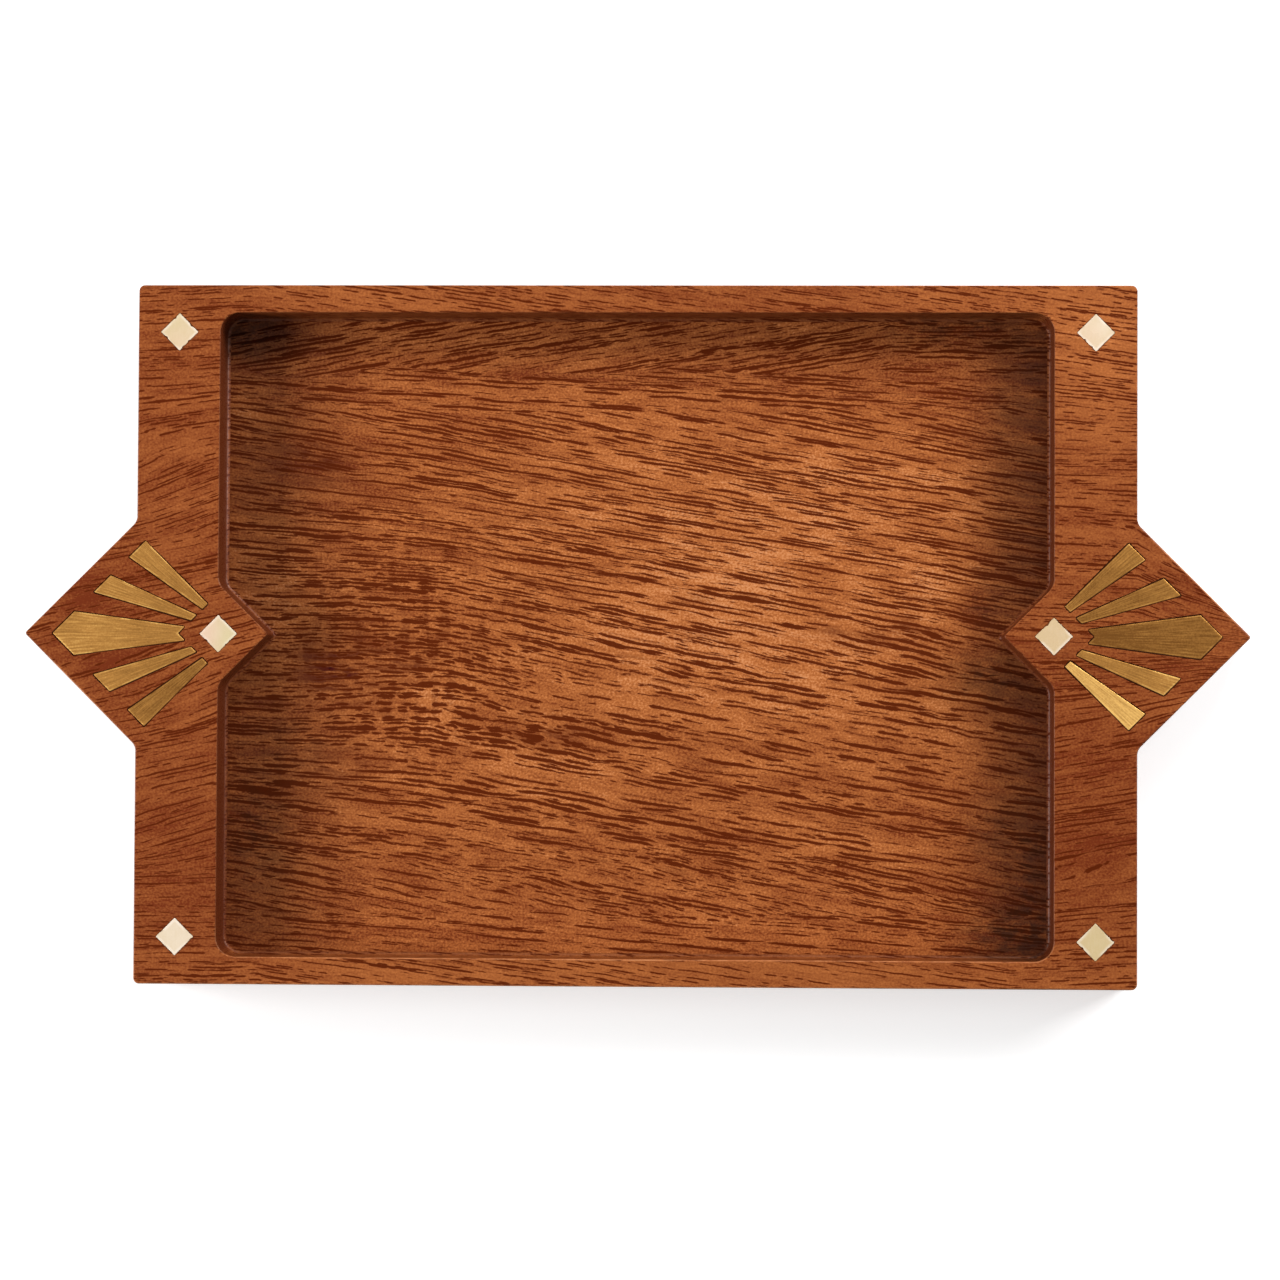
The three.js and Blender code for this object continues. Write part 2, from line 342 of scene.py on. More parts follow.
class Finish:
    """One material, with short calls that each add a node and hand back what it gives."""

    def __init__(self, name):
        self.material = bpy.data.materials.new(name)
        self.material.use_nodes = True
        self.tree = self.material.node_tree
        self.shader = self.tree.nodes["Principled BSDF"]

    def feed(self, socket, value):
        """Links a socket to another node's result, or sets it to a plain value."""
        if isinstance(value, bpy.types.NodeSocket):
            self.tree.links.new(value, socket)
        else:
            socket.default_value = value

    def surface(self, name, value):
        """Gives the surface one of its qualities, by its name in Blender."""
        self.feed(self.shader.inputs[name], value)

    def node(self, kind, inputs, **settings):
        """Adds a node of a kind, with its settings and the named inputs."""
        added = self.tree.nodes.new("ShaderNode" + kind)
        for name, value in settings.items():
            setattr(added, name, value)
        for name, value in inputs.items():
            self.feed(added.inputs[name], value)
        return added

    def place(self):
        """Where a point of the piece is, in millimetres."""
        coordinates = self.node("TexCoord", {}).outputs["Object"]
        return self.vector("MULTIPLY", coordinates, [1 / MILLIMETRE] * 3)

    def vector(self, operation, first, second):
        """One step of arithmetic on two vectors."""
        joined = self.node("VectorMath", {0: first, 1: second}, operation=operation)
        return joined.outputs["Vector"]

    def number(self, operation, first, second=0.0, third=0.0):
        """One step of arithmetic on one, two or three numbers."""
        return self.node("Math", {0: first, 1: second, 2: third}, operation=operation).outputs[0]

    def product(self, *factors):
        """The factors multiplied together, from the first one on."""
        total = factors[0]
        for factor in factors[1:]:
            total = self.number("MULTIPLY", total, factor)
        return total

    def split(self, vector):
        """The x, y and z of a vector."""
        return self.node("SeparateXYZ", {0: vector}).outputs[:]

    def join(self, x, y, z):
        """A vector of x, y and z."""
        return self.node("CombineXYZ", {0: x, 1: y, 2: z}).outputs[0]

    def ease(self, value, low, high, at_low=0.0, at_high=1.0):
        """Goes smoothly from at_low to at_high as the value goes from low to high.

        The values whose names end in EASE list these four, or low and high alone.
        """
        inputs = {0: value, 1: low, 2: high, 3: at_low, 4: at_high}
        return self.node("MapRange", inputs, interpolation_type="SMOOTHSTEP").outputs[0]

    def spots(self, place, listed, base=0.0):
        """A base plus soft round spots: each is its amount times e to the power -(r squared),
        with r the distance from its middle measured in its own radii along x and y."""
        total = base
        for x, y, radius_x, radius_y, amount in listed:
            away = self.vector("SUBTRACT", place, (x, y, 0.0))
            away = self.vector("MULTIPLY", away, (1 / radius_x, 1 / radius_y, 0.0))
            away = self.node("VectorMath", {0: away, 1: away}, operation="DOT_PRODUCT")
            fall = self.product(away.outputs["Value"], -1.0)
            fall = self.number("EXPONENT", fall)
            total = self.number("MULTIPLY_ADD", fall, amount, total)
        return total

    def limit(self, value, low, high):
        """The value, held between low and high."""
        return self.node("Clamp", {0: value, 1: low, 2: high}).outputs[0]

    def either(self, share, first, second):
        """The first number where the share is 0, and the second where it is 1."""
        return self.node("Mix", {0: share, 2: first, 3: second}).outputs[0]

    def along_list(self, value, listed):
        """Reads a smooth curve through the listed (value, result) pairs."""
        first, last = listed[0][0], listed[-1][0]
        share = self.node("MapRange", {0: value, 1: first, 2: last}).outputs[0]
        curve = self.node("FloatCurve", {1: share})
        points = curve.mapping.curves[0].points
        while len(points) < len(listed):
            points.new(0.5, 0.5)
        for point, (at, result) in zip(points, listed):
            point.location = ((at - first) / (last - first), result)
        curve.mapping.update()
        return curve.outputs[0]

    def cloud(self, place, size, detail, roughness=0.5):
        """Soft noise between 0 and 1, about as coarse as the size says in each direction.

        The values whose names end in GRAIN list the size, the detail and at times the
        roughness.
        """
        scaled = self.vector("DIVIDE", place, size)
        inputs = {"Vector": scaled, "Scale": 1.0, "Detail": detail, "Roughness": roughness}
        return self.node("TexNoise", inputs).outputs[0]

    def patches(self, place, grain, ease):
        """Soft noise of a listed grain, eased between the listed numbers."""
        return self.ease(self.cloud(place, *grain), *ease)

    def blend(self, share, first, second):
        """Mixes two colours. A share under 0 or over 1 goes on past them."""
        inputs = {0: share, 6: first, 7: second}
        return self.node("Mix", inputs, data_type="RGBA", clamp_factor=False).outputs[2]

    def dashes(self, place, cell, fullness):
        """How deep a place lies in slim pointed dashes: under 0 between them.

        Dots are strewn one to a cell of the given length, width and depth. A dash is where
        the distance to the nearest dot, measured in cells, is under the fullness. The
        distance takes the sum of |offset| to the power k, with k between 1, which gives
        sharp diamonds, and 2, which gives ovals.
        """
        scaled = self.vector("DIVIDE", place, cell)
        inputs = {"Vector": scaled, "Scale": 1.0, "Exponent": DASH_EXPONENT,
                  "Randomness": DASH_STRAY}
        distance = self.node("TexVoronoi", inputs, distance="MINKOWSKI").outputs[0]
        return self.number("SUBTRACT", fullness, distance)

    def threads(self, fibre, apart, length, fullness):
        """How deep a place lies in long pores that run along the fibres: under 0 between.

        The pores' axes are dots strewn over the plane across the fibres, one to a cell. Each
        pore opens and closes along its length by soft noise of its own. A place is inside
        where its distance to the axis, in cells, is under the fullness less what the noise
        has closed.
        """
        x, y, z = self.split(fibre)
        level = self.number("DIVIDE", self.number("SUBTRACT", z, THICKNESS), THREAD_DEPTH)
        level = self.number("ADD", level, THREAD_STRAY / 2)
        flat = self.join(self.number("DIVIDE", y, apart), level, 0.0)
        inputs = {"Vector": flat, "Scale": 1.0, "Randomness": THREAD_STRAY}
        axes = self.node("TexVoronoi", inputs, voronoi_dimensions="2D").outputs
        own = self.split(axes["Color"])[0]
        run = self.number("DIVIDE", x, length)
        run = self.number("MULTIPLY_ADD", own, THREADS_APART, run)
        inputs = {"W": run, "Scale": 1.0, "Detail": 1.0}
        opening = self.node("TexNoise", inputs, noise_dimensions="1D").outputs[0]
        closed = self.ease(opening, *THREAD_EASE)
        width = self.number("SUBTRACT", fullness, closed)
        return self.number("SUBTRACT", width, axes["Distance"])

    def bump(self, height, strength, distance):
        """Raises the surface by a height, as light sees it. The distance is in metres.

        The values whose names end in BUMP list the strength and the distance.
        """
        inputs = {"Height": height, "Strength": strength, "Distance": distance}
        bumped = self.node("Bump", inputs).outputs[0]
        self.surface("Normal", bumped)


def colour(red, green, blue):
    """A colour as shares of light given back."""
    return (red, green, blue, 1.0)


# Hardwood

WOOD_SPARK = colour(0.680, 0.287, 0.120)
WOOD_LIGHT = colour(0.600, 0.194, 0.050)
WOOD_DEEP = colour(0.195, 0.038, 0.007)
PORE_DARK = colour(0.100, 0.0135, 0.0015)
# The colour of painted shade, on the floor towards the pocket's ends and on its walls
PAINTED_SHADE_DARK = colour(0.052, 0.010, 0.003)
# The colour of stains, and of painted shade in the pocket's corners and along its walls
STAIN_AND_SHADE_DARK = colour(0.040, 0.013, 0.005)
END_GRAIN_DARK = colour(0.105, 0.020, 0.005)

# How far past its outline the pocket's hollow reaches, and how far under the top it fades in
HOLLOW_MARGIN = 1.0
HOLLOW_BELOW = 0.7
HOLLOW_FROM = 0.3
# How far along x the flat floor reaches, away from the handles' inner points
FLOOR_REACH = POCKET_HALF_LENGTH - COVE_RADIUS


def pocket_parts(finish, place):
    """Where a place is in the pocket: 1 on its floor and 0 off it, 1 in its hollow, walls and
    all, and 0 outside, and its reach. The reach is |x| plus the length that a handle's inner
    point takes from the pocket at that y, so it is the same all along the end walls."""
    x, y, z = finish.split(place)
    along = finish.number("ABSOLUTE", x)
    across = finish.number("ABSOLUTE", y)
    point = finish.number("SUBTRACT", HANDLE_INNER_REACH, across)
    reach = finish.number("ADD", along, finish.number("MAXIMUM", point, 0.0))
    above = finish.number("GREATER_THAN", z, FLOOR_HEIGHT / 2)

    in_length = finish.number("LESS_THAN", reach, FLOOR_REACH)
    in_width = finish.number("LESS_THAN", across, POCKET_HALF_WIDTH - COVE_RADIUS)
    on_floor = finish.product(in_length, in_width, above)

    in_length = finish.number("LESS_THAN", along, POCKET_HALF_LENGTH + HOLLOW_MARGIN)
    in_width = finish.number("LESS_THAN", across, POCKET_HALF_WIDTH + HOLLOW_MARGIN)
    below = finish.ease(z, THICKNESS - HOLLOW_BELOW, THICKNESS - HOLLOW_FROM, 1.0, 0.0)
    hollow = finish.product(in_length, in_width, below, above)
    return on_floor, hollow, reach


# Slopes of the fibres on the pocket's floor, as rise over run, in bands across it: the slope
# at the front, then where each next band begins and how much is added to the slope there
FRONT_SLOPE = -0.085
FLOOR_BANDS = [(-71.0, -0.105), (-58.0, 0.050), (-10.0, -0.065), (58.5, 0.130)]
BACK_BAND_FROM = 68.0
BACK_BAND_EXTRA = 0.240
# Where the back band's fibres turn down again, and by how much
BACK_BAND_TURNS = 65.0
BACK_BAND_FALL = -0.17
# The bands' borders wander: how coarsely and how far
BORDER_GRAIN = ((26, 7, 7), 2.0)
BORDER_WANDER = 7.0
# The fibres swell backwards along the middle of the floor's left part
SWELL_HEIGHT = 10.5
SWELL_WIDTH = 40.0
SWELL_FROM = -120.0
SWELL_BY = -40.0


def floor_lift(finish, place):
    """How far back a fibre of the floor has gone since x = 0: its band's slope times x, with
    the back band's turn, plus a swell of e to the power -(y / width) squared."""
    x, y, z = finish.split(place)
    loose_y = finish.number("MULTIPLY_ADD", finish.cloud(place, *BORDER_GRAIN), BORDER_WANDER, y)
    loose_y = finish.number("SUBTRACT", loose_y, BORDER_WANDER / 2)
    slope = FRONT_SLOPE
    for band_from, extra in FLOOR_BANDS:
        begun = finish.number("GREATER_THAN", loose_y, band_from)
        slope = finish.number("MULTIPLY_ADD", begun, extra, slope)
    at_back = finish.number("GREATER_THAN", loose_y, BACK_BAND_FROM)
    slope = finish.number("MULTIPLY_ADD", at_back, BACK_BAND_EXTRA, slope)
    lift = finish.product(slope, x)
    turned = finish.number("MAXIMUM", finish.number("SUBTRACT", x, BACK_BAND_TURNS), 0.0)
    turned = finish.product(turned, at_back)
    lift = finish.number("MULTIPLY_ADD", turned, BACK_BAND_FALL, lift)

    away = finish.number("DIVIDE", y, SWELL_WIDTH)
    away = finish.product(away, away)
    swell = finish.number("EXPONENT", finish.product(away, -1.0))
    height = finish.ease(x, SWELL_FROM, SWELL_BY, 0.0, SWELL_HEIGHT)
    return finish.number("ADD", lift, finish.product(swell, height))


# Slopes of the fibres on the rims: the same all along, and what the end rims add to that
# from the front to the back
RIM_SLOPE = -0.15
LEFT_RIM_EXTRA = [(-89, 0.15), (-64, 0.18), (-52, 0.48), (-40, 0.40), (-30, 0.36),
                  (-16, 0.52), (0, 0.40), (18, 0.36), (34, 0.56), (50, 0.34), (66, 0.20)]
RIGHT_RIM_EXTRA = [(-89, 0.18), (-68, 0.24), (-50, 0.32), (-30, 0.32), (-14, 0.24),
                   (2, 0.12), (20, 0.10), (30, 0.08), (42, 0.14), (62, 0.02), (80, 0.0)]
# Where along x the end rims' extra is nothing, and how far to the left and right it goes on
RIM_MIDDLE = 110.0
LEFT_RIM_RUN = (-17.0, 15.0)
RIGHT_RIM_RUN = (-15.0, 34.0)
# What the handles add: on the right one the fibres rise a little at the front and fall away
# towards the back
LEFT_HANDLE_EXTRA = 0.36
RIGHT_HANDLE_RISE = 0.12
RIGHT_HANDLE_FALL = [(-29, 0.0), (-9, 0.0), (10, 0.50), (29, 0.55)]


def rim_lift(finish, place):
    """How far back a fibre of the rims and handles has gone since x = 0: the rims' slope
    times x, plus each extra slope times the run that it holds for."""
    x, y, z = finish.split(place)
    lift = finish.product(x, RIM_SLOPE)
    run = finish.limit(finish.number("ADD", x, RIM_MIDDLE), *LEFT_RIM_RUN)
    lift = finish.number("MULTIPLY_ADD", run, finish.along_list(y, LEFT_RIM_EXTRA), lift)
    run = finish.limit(finish.number("ADD", x, HALF_LENGTH), -HANDLE_OUTER_REACH, 0.0)
    lift = finish.number("MULTIPLY_ADD", run, LEFT_HANDLE_EXTRA, lift)
    run = finish.limit(finish.number("SUBTRACT", x, RIM_MIDDLE), *RIGHT_RIM_RUN)
    lift = finish.number("MULTIPLY_ADD", run, finish.along_list(y, RIGHT_RIM_EXTRA), lift)
    run = finish.limit(finish.number("SUBTRACT", x, HALF_LENGTH), 0.0, HANDLE_OUTER_REACH)
    fall = finish.along_list(y, RIGHT_HANDLE_FALL)
    extra = finish.number("SUBTRACT", RIGHT_HANDLE_RISE, fall)
    return finish.number("MULTIPLY_ADD", run, extra, lift)


# Wavers of all fibres, and finer ripples in them: how coarse they are and how far they go,
# with what the floor and the curly figure add
WAVER_GRAIN = ((15, 5, 5), 1.0)
WAVER = 0.9
FLOOR_WAVER = 0.7
RIPPLE_GRAIN = ((3.2, 1.7, 1.7), 1.0)
RIPPLE = 0.4
CURLY_RIPPLE = 0.5


def along_fibres(finish, place, on_floor, curly):
    """A place as the wood's fibres have it: x, y less the fibre's lift there, and z."""
    x, y, z = finish.split(place)
    lift = finish.either(on_floor, rim_lift(finish, place), floor_lift(finish, place))
    far = finish.number("MULTIPLY_ADD", on_floor, FLOOR_WAVER, WAVER)
    lift = finish.number("MULTIPLY_ADD", finish.cloud(place, *WAVER_GRAIN), far, lift)
    far = finish.number("MULTIPLY_ADD", curly, CURLY_RIPPLE, RIPPLE)
    lift = finish.number("MULTIPLY_ADD", finish.cloud(place, *RIPPLE_GRAIN), far, lift)
    return finish.join(x, finish.number("SUBTRACT", y, lift), z)


# Places on the wood are listed here and below as (x, y, radius along x, radius along y,
# amount). The figure is curly in these, with dark curls across it
CURLY_FIGURE = [(-58, 6, 34, 20, 0.85), (-60, -20, 34, 13, 0.55)]
CURL_GRAIN = ((3.0, 12, 12), 2.0)
CURL_SHIFT = (17, 5, 3)
CURL_EASE = (0.5, 0.66)


def dark_curls(finish, place, curly):
    """Curls that run across the fibres of the curly figure, from 0 to 1."""
    strewn = finish.cloud(finish.vector("ADD", place, CURL_SHIFT), *CURL_GRAIN)
    return finish.product(finish.ease(strewn, *CURL_EASE), curly)


# The dashes' outline, how far their dots stray in the cells, and how gradually pores begin
DASH_EXPONENT = 1.35
DASH_STRAY = 0.85
PORE_SOFTNESS = 0.09
# Threads: how deep a cell of their axes is, how far the axes stray in their cells, how far
# apart they read their noise, so that no two are alike, and how the noise closes them
THREAD_DEPTH = 1.0
THREAD_STRAY = 0.7
THREADS_APART = 1000.0
THREAD_EASE = (0.36, 0.56, 0.36, 0.0)

# The long, the brief and the wide pores: their cells, and how full these are, with what is
# added where pores are short and where the figure is curly
LONG_APART = 1.20
LONG_LENGTH = 17.0
LONG_FULLNESS = (0.37, -0.09, -0.06)
BRIEF_APART = 0.95
BRIEF_LENGTH = 5.5
BRIEF_FULLNESS = (0.17, 0.13, 0.13)
BRIEF_SHIFT = (0, 57.3, 0)
WIDE_CELL = (7.5, 0.90, 0.90)
WIDE_FULLNESS = (0.24, 0.05, -0.08)
WIDE_SHIFT = (97, 131, 61)

# Pores stand in loose bunches and have frayed edges. On the rims they are slimmer
BUNCH_GRAIN = ((38, 5, 5), 2.0)
BUNCH_EASE = (0.3, 0.7, -0.05, 0.02)
FRAY_GRAIN = ((0.9, 0.5, 0.5), 1.0)
FRAY = 0.20
CURL_CROWDING = 0.09
RIM_THINNING = -0.03
CROWDED_PORES = [(-62, 0, 34, 24, 0.04), (-97, -46, 14, 26, 0.06), (-97, 55, 14, 30, 0.05),
                 (94, 20, 12, 60, 0.02), (0, 76, 110, 7, 0.02), (66, 0, 13, 3.5, 0.09),
                 (-22, -25, 13, 4, 0.12), (101, -66, 8, 20, 0.05)]
THINNED_PORES = [(119, -63, 9, 5, -0.14)]
SHORT_PORES = [(-10, -66, 110, 15, 1.0), (-50, -22, 40, 18, 0.8), (0, 74, 120, 9, 0.8),
               (-62, 4, 34, 24, 0.7)]


def pore_depth(finish, place, fibre, on_floor, curly, curls):
    """How deep a place lies in the nearest pore of the three kinds: under 0 between them."""
    bunch = finish.patches(fibre, BUNCH_GRAIN, BUNCH_EASE)
    crowded = finish.either(on_floor, finish.spots(place, THINNED_PORES, RIM_THINNING),
                            finish.spots(place, CROWDED_PORES))
    bunch = finish.number("ADD", bunch, crowded)
    frayed = finish.number("SUBTRACT", finish.cloud(place, *FRAY_GRAIN), 0.5)
    bunch = finish.number("MULTIPLY_ADD", frayed, FRAY, bunch)
    bunch = finish.number("MULTIPLY_ADD", curls, CURL_CROWDING, bunch)
    short = finish.either(on_floor, 1.0, finish.spots(place, SHORT_PORES))

    def fullness(plain, where_short, where_curly):
        """How full the cells of one kind of pore are."""
        full = finish.number("MULTIPLY_ADD", short, where_short, plain)
        full = finish.number("MULTIPLY_ADD", curly, where_curly, full)
        return finish.number("ADD", bunch, full)

    depth = finish.threads(fibre, LONG_APART, LONG_LENGTH, fullness(*LONG_FULLNESS))
    shifted = finish.vector("ADD", fibre, BRIEF_SHIFT)
    brief = finish.threads(shifted, BRIEF_APART, BRIEF_LENGTH, fullness(*BRIEF_FULLNESS))
    depth = finish.number("MAXIMUM", depth, brief)
    shifted = finish.vector("ADD", fibre, WIDE_SHIFT)
    wide = finish.dashes(shifted, WIDE_CELL, fullness(*WIDE_FULLNESS))
    return finish.number("MAXIMUM", depth, wide)


# Streaks, specks, hair-fine fibres and haze in the wood between the pores: how coarse they
# are and how strong, with what the floor adds
STREAK_GRAIN = ((60, 6, 6), 3.0, 0.6)
STREAK_EASE = (0.2, 0.8, 0.31, 0.51)
SPECK_GRAIN = ((0.6, 0.5, 0.5), 2.0)
SPECK = 1.0
FLOOR_SPECK = 0.7
HAIR_GRAIN = ((5, 0.7, 0.7), 1.0)
HAIR = 0.35
HAZE_GRAIN = ((13, 2.6, 2.6), 2.0)
HAZE_EASE = (0.35, 0.75, 0.0, -0.35)
# How much of the haze and the smears the rims have, and what the floor adds
RIM_SHARE = 0.5
FLOOR_SHARE = 0.5
# The tone's limits, how much deeper the rims are, and which places are paler, or deeper where
# under 0. The first floor spot, wide over the floor's middle, is a painted pool of light
TONE_LIMITS = (-0.1, 1.2)
RIM_TONE = -0.16
FLOOR_TONES_AND_LIGHT_POOL = [(20, 12, 66, 46, 0.48), (-62, -32, 24, 22, 0.14), (-94, 8, 14, 20, 0.36),
               (56, 38, 26, 14, 0.16), (-22, -39, 22, 12, 0.22), (0, -74, 90, 8, 0.10),
               (-8, 18, 14, 10, -0.16), (84, 30, 14, 34, 0.05), (-45, 79, 34, 7, 0.24),
               (46, 80, 18, 6, 0.22), (94, -70, 9, 16, -0.15), (-102, 58, 5, 8, 0.30),
               (74, 9, 8, 9, 0.24), (-52, -19, 10, 10, 0.18), (76, -20, 9, 8, 0.24),
               (50, -52, 18, 9, 0.16), (10, -58, 38, 8, 0.12), (46, -7, 16, 7, 0.12),
               (18, -26, 13, 12, -0.14), (62, 66, 34, 8, -0.12), (-30, 68, 10, 7, -0.16),
               (88, 6, 5, 7, -0.20), (-90, -60, 10, 10, 0.16), (47, 13, 8, 8, -0.14),
               (-84, 46, 14, 6, -0.16)]
RIM_TONES = [(118, 78, 22, 26, 0.38), (116, -44, 20, 34, -0.14),
             (-116, -60, 20, 34, -0.12), (-135, 2, 14, 20, -0.18),
             (0, -86, 150, 7, 0.26), (-66, 86, 44, 8, 0.18), (20, 86, 50, 8, 0.05),
             (76, 86, 18, 6, 0.20), (142, 11, 7, 5, -0.12), (135, -9, 9, 4, -0.12),
             (-140, 8, 8, 4, -0.10), (-134, -8, 8, 4, -0.10)]


def wood_tone(finish, place, fibre, hair, on_floor, floor_share):
    """How pale the wood between the pores is: 0 is deep, and 1 light."""
    tone = finish.patches(fibre, STREAK_GRAIN, STREAK_EASE)
    speck = finish.number("SUBTRACT", finish.cloud(place, *SPECK_GRAIN), 0.5)
    strong = finish.number("MULTIPLY_ADD", on_floor, FLOOR_SPECK, SPECK)
    tone = finish.number("MULTIPLY_ADD", speck, strong, tone)
    tone = finish.number("MULTIPLY_ADD", finish.number("SUBTRACT", hair, 0.5), HAIR, tone)
    local = finish.either(on_floor, finish.spots(place, RIM_TONES, RIM_TONE),
                          finish.spots(place, FLOOR_TONES_AND_LIGHT_POOL))
    tone = finish.number("ADD", tone, local)
    haze = finish.patches(fibre, HAZE_GRAIN, HAZE_EASE)
    haze = finish.product(haze, floor_share)
    return finish.limit(finish.number("ADD", tone, haze), *TONE_LIMITS)


# Dark smears along the fibres, torn dark streaks on the floor and ragged dark patches in the
# pocket, partly stains and partly painted shade in its corners and along its walls: how coarse they
# are, how dark and where
SMEAR_GRAIN = ((20, 2.2, 2.2), 2.0)
SMEAR_EASE = (0.60, 0.80, 0.0, 0.4)
STREAK_TEAR_GRAIN = ((9, 2.0, 2.0), 3.0, 0.65)
STREAK_TEAR_EASE = (0.32, 0.66)
DARK_PATCH_TEAR_GRAIN = ((5, 2.5, 2.5), 4.0, 0.7)
DARK_PATCH_TEAR_EASE = (0.34, 0.66)
DARK_PATCH_PORE_EASE = (0.0, 1.0, 0.72, 1.15)
CURL_DARK = 0.35
PORE_SHARE = 0.95
MOST_STAIN_AND_SHADE = 0.85
DARK_STREAKS = [(-77, -9, 15, 8, 1.15), (-60, -5, 7, 4.5, 0.7), (-22, -25, 12, 4, 0.75),
                (66, 0, 13, 3.5, 0.45), (-77, -34, 11, 7, 0.6), (-84, 45, 15, 7, 0.85),
                (14, 9.5, 5, 1.6, 0.6), (50, 2.5, 4, 2, 0.6), (68.5, 3, 3, 2, 0.6),
                (68.5, -13, 2.6, 2.2, 0.85)]
STAINS_AND_CORNER_SHADE = [(98, -77, 12, 8, 1.3), (84, 80, 22, 5, 0.7), (-102, 79, 9, 9, 1.1),
               (103, -62, 6, 20, 0.9), (92, -11, 11, 6, 0.7), (92, -50, 9, 8, 0.5),
               (-98, -52, 9, 15, 0.6), (-90, -28, 12, 7, 0.4), (102, 66, 5, 16, 0.5),
               (89, 9, 5, 6, 0.55), (87, -6, 6, 3, 0.30)]


def dark_marks(finish, place, fibre, pores, curls, on_floor, floor_share):
    """How much of the pores' dark colour a place has, from its pore, smear, streak or curl."""
    smear = finish.patches(fibre, SMEAR_GRAIN, SMEAR_EASE)
    smear = finish.product(smear, floor_share)
    torn = finish.patches(fibre, STREAK_TEAR_GRAIN, STREAK_TEAR_EASE)
    streaks = finish.product(finish.spots(place, DARK_STREAKS), on_floor)
    dark = finish.number("MAXIMUM", smear, finish.product(streaks, torn))
    dark = finish.number("MULTIPLY_ADD", curls, CURL_DARK, dark)
    return finish.number("MAXIMUM", dark, finish.product(pores, PORE_SHARE))


def stains_and_corner_shade(finish, place, fibre, pores, hollow):
    """How dark a place in the pocket is from stains and from painted shade in its corners and along
    its walls: most of all in its pores.
    """
    stain_and_shade = finish.spots(place, STAINS_AND_CORNER_SHADE)
    ragged = finish.patches(fibre, DARK_PATCH_TEAR_GRAIN, DARK_PATCH_TEAR_EASE)
    return finish.product(stain_and_shade, hollow, ragged, finish.ease(pores, *DARK_PATCH_PORE_EASE))


# Painted shade that darkens the floor towards each end of the pocket: how strong, and where it
# begins. The left one is full before the wall. Then how it is broken up along the fibres, and the
# most that is left
LEFT_END_SHADE = 0.32
LEFT_END_SHADE_FROM = 62.0
LEFT_END_SHADE_BY = 100.0
RIGHT_END_SHADE = 0.57
RIGHT_END_SHADE_FROM = 78.0
END_SHADE_GRAIN = ((14, 1.6, 1.6), 3.0, 0.6)
END_SHADE_EASE = (0.3, 0.7, 0.65, 1.35)
MOST_END_SHADE = 0.85
# How far from the end walls the floor is darkened along their foot, a painted shade, and how dark
# it is
FOOT_SHADE_REACH = 1.8
FOOT_SHADE = 0.40


def floor_painted_shade(finish, x, fibre, reach, on_floor):
    """Painted shade on the floor towards its ends and along the foot of the end walls, broken up in
    places along the fibres.
    """
    at_left = finish.ease(x, -LEFT_END_SHADE_BY, -LEFT_END_SHADE_FROM, LEFT_END_SHADE, 0.0)
    at_right = finish.ease(x, RIGHT_END_SHADE_FROM, POCKET_HALF_LENGTH, 0.0, RIGHT_END_SHADE)
    end_shade = finish.number("MAXIMUM", at_left, at_right)
    broken_up = finish.patches(fibre, END_SHADE_GRAIN, END_SHADE_EASE)
    end_shade = finish.product(end_shade, broken_up, on_floor)
    foot_shade = finish.ease(reach, FLOOR_REACH - FOOT_SHADE_REACH, FLOOR_REACH, 0.0, FOOT_SHADE)
    foot_shade = finish.product(foot_shade, on_floor)
    return finish.limit(finish.number("MAXIMUM", end_shade, foot_shade), 0.0, MOST_END_SHADE)


# Where the cove at the foot of the pocket's walls is left out of the walls' painted shade and
# shines more, a painted highlight, and up to which height over the floor it is full
COVE_HIGHLIGHTS = [(-106, 42, 14, 34, 1.0), (-106, -45, 14, 34, 0.25), (106, -50, 14, 24, 0.30)]
COVE_HIGHLIGHT_HEIGHT = 0.3
COVE_HIGHLIGHT_GRAIN = ((1.0, 0.9, 1.0), 1.0)
COVE_HIGHLIGHT_EASE = (0.35, 0.6, 0.4, 1.0)
CLEAR_OF_DARK_EASE = (0.1, 0.6, 1.0, 0.0)
# Where the rounded edges of the top are paler, partly worn and partly a painted highlight, and how
# much they are everywhere
WORN_AND_HIGHLIT_EDGES = [(0, -87, 170, 8, 0.9), (142, 15, 14, 14, 1.1), (-142, -14, 12, 12, 0.6)]
WORN_AND_HIGHLIT_EVERYWHERE = 0.12
EDGE_PATCH_GRAIN = ((9, 9, 9), 4.0, 0.75)
EDGE_PATCH_EASE = (0.35, 0.62, 0.15, 0.8)
# How far under the top the paler edge begins, where it is full and where it ends
PALE_EDGE_FROM = 0.40
PALE_EDGE_FULL = 0.20
PALE_EDGE_TO = 0.012


def cove_highlights(finish, place, stain_and_shade, wall):
    """How much painted highlight the cove at the foot of the walls has, in broken patches: there
    the walls' painted shade is left out and the sheen raised.
    """
    x, y, z = finish.split(place)
    highlight_top = FLOOR_HEIGHT + COVE_HIGHLIGHT_HEIGHT
    low = finish.ease(z, highlight_top, FLOOR_HEIGHT + COVE_RADIUS, 1.0, 0.0)
    here = finish.spots(place, COVE_HIGHLIGHTS)
    clear_of_dark = finish.ease(stain_and_shade, *CLEAR_OF_DARK_EASE)
    broken = finish.patches(place, COVE_HIGHLIGHT_GRAIN, COVE_HIGHLIGHT_EASE)
    return finish.product(low, here, clear_of_dark, wall, broken)


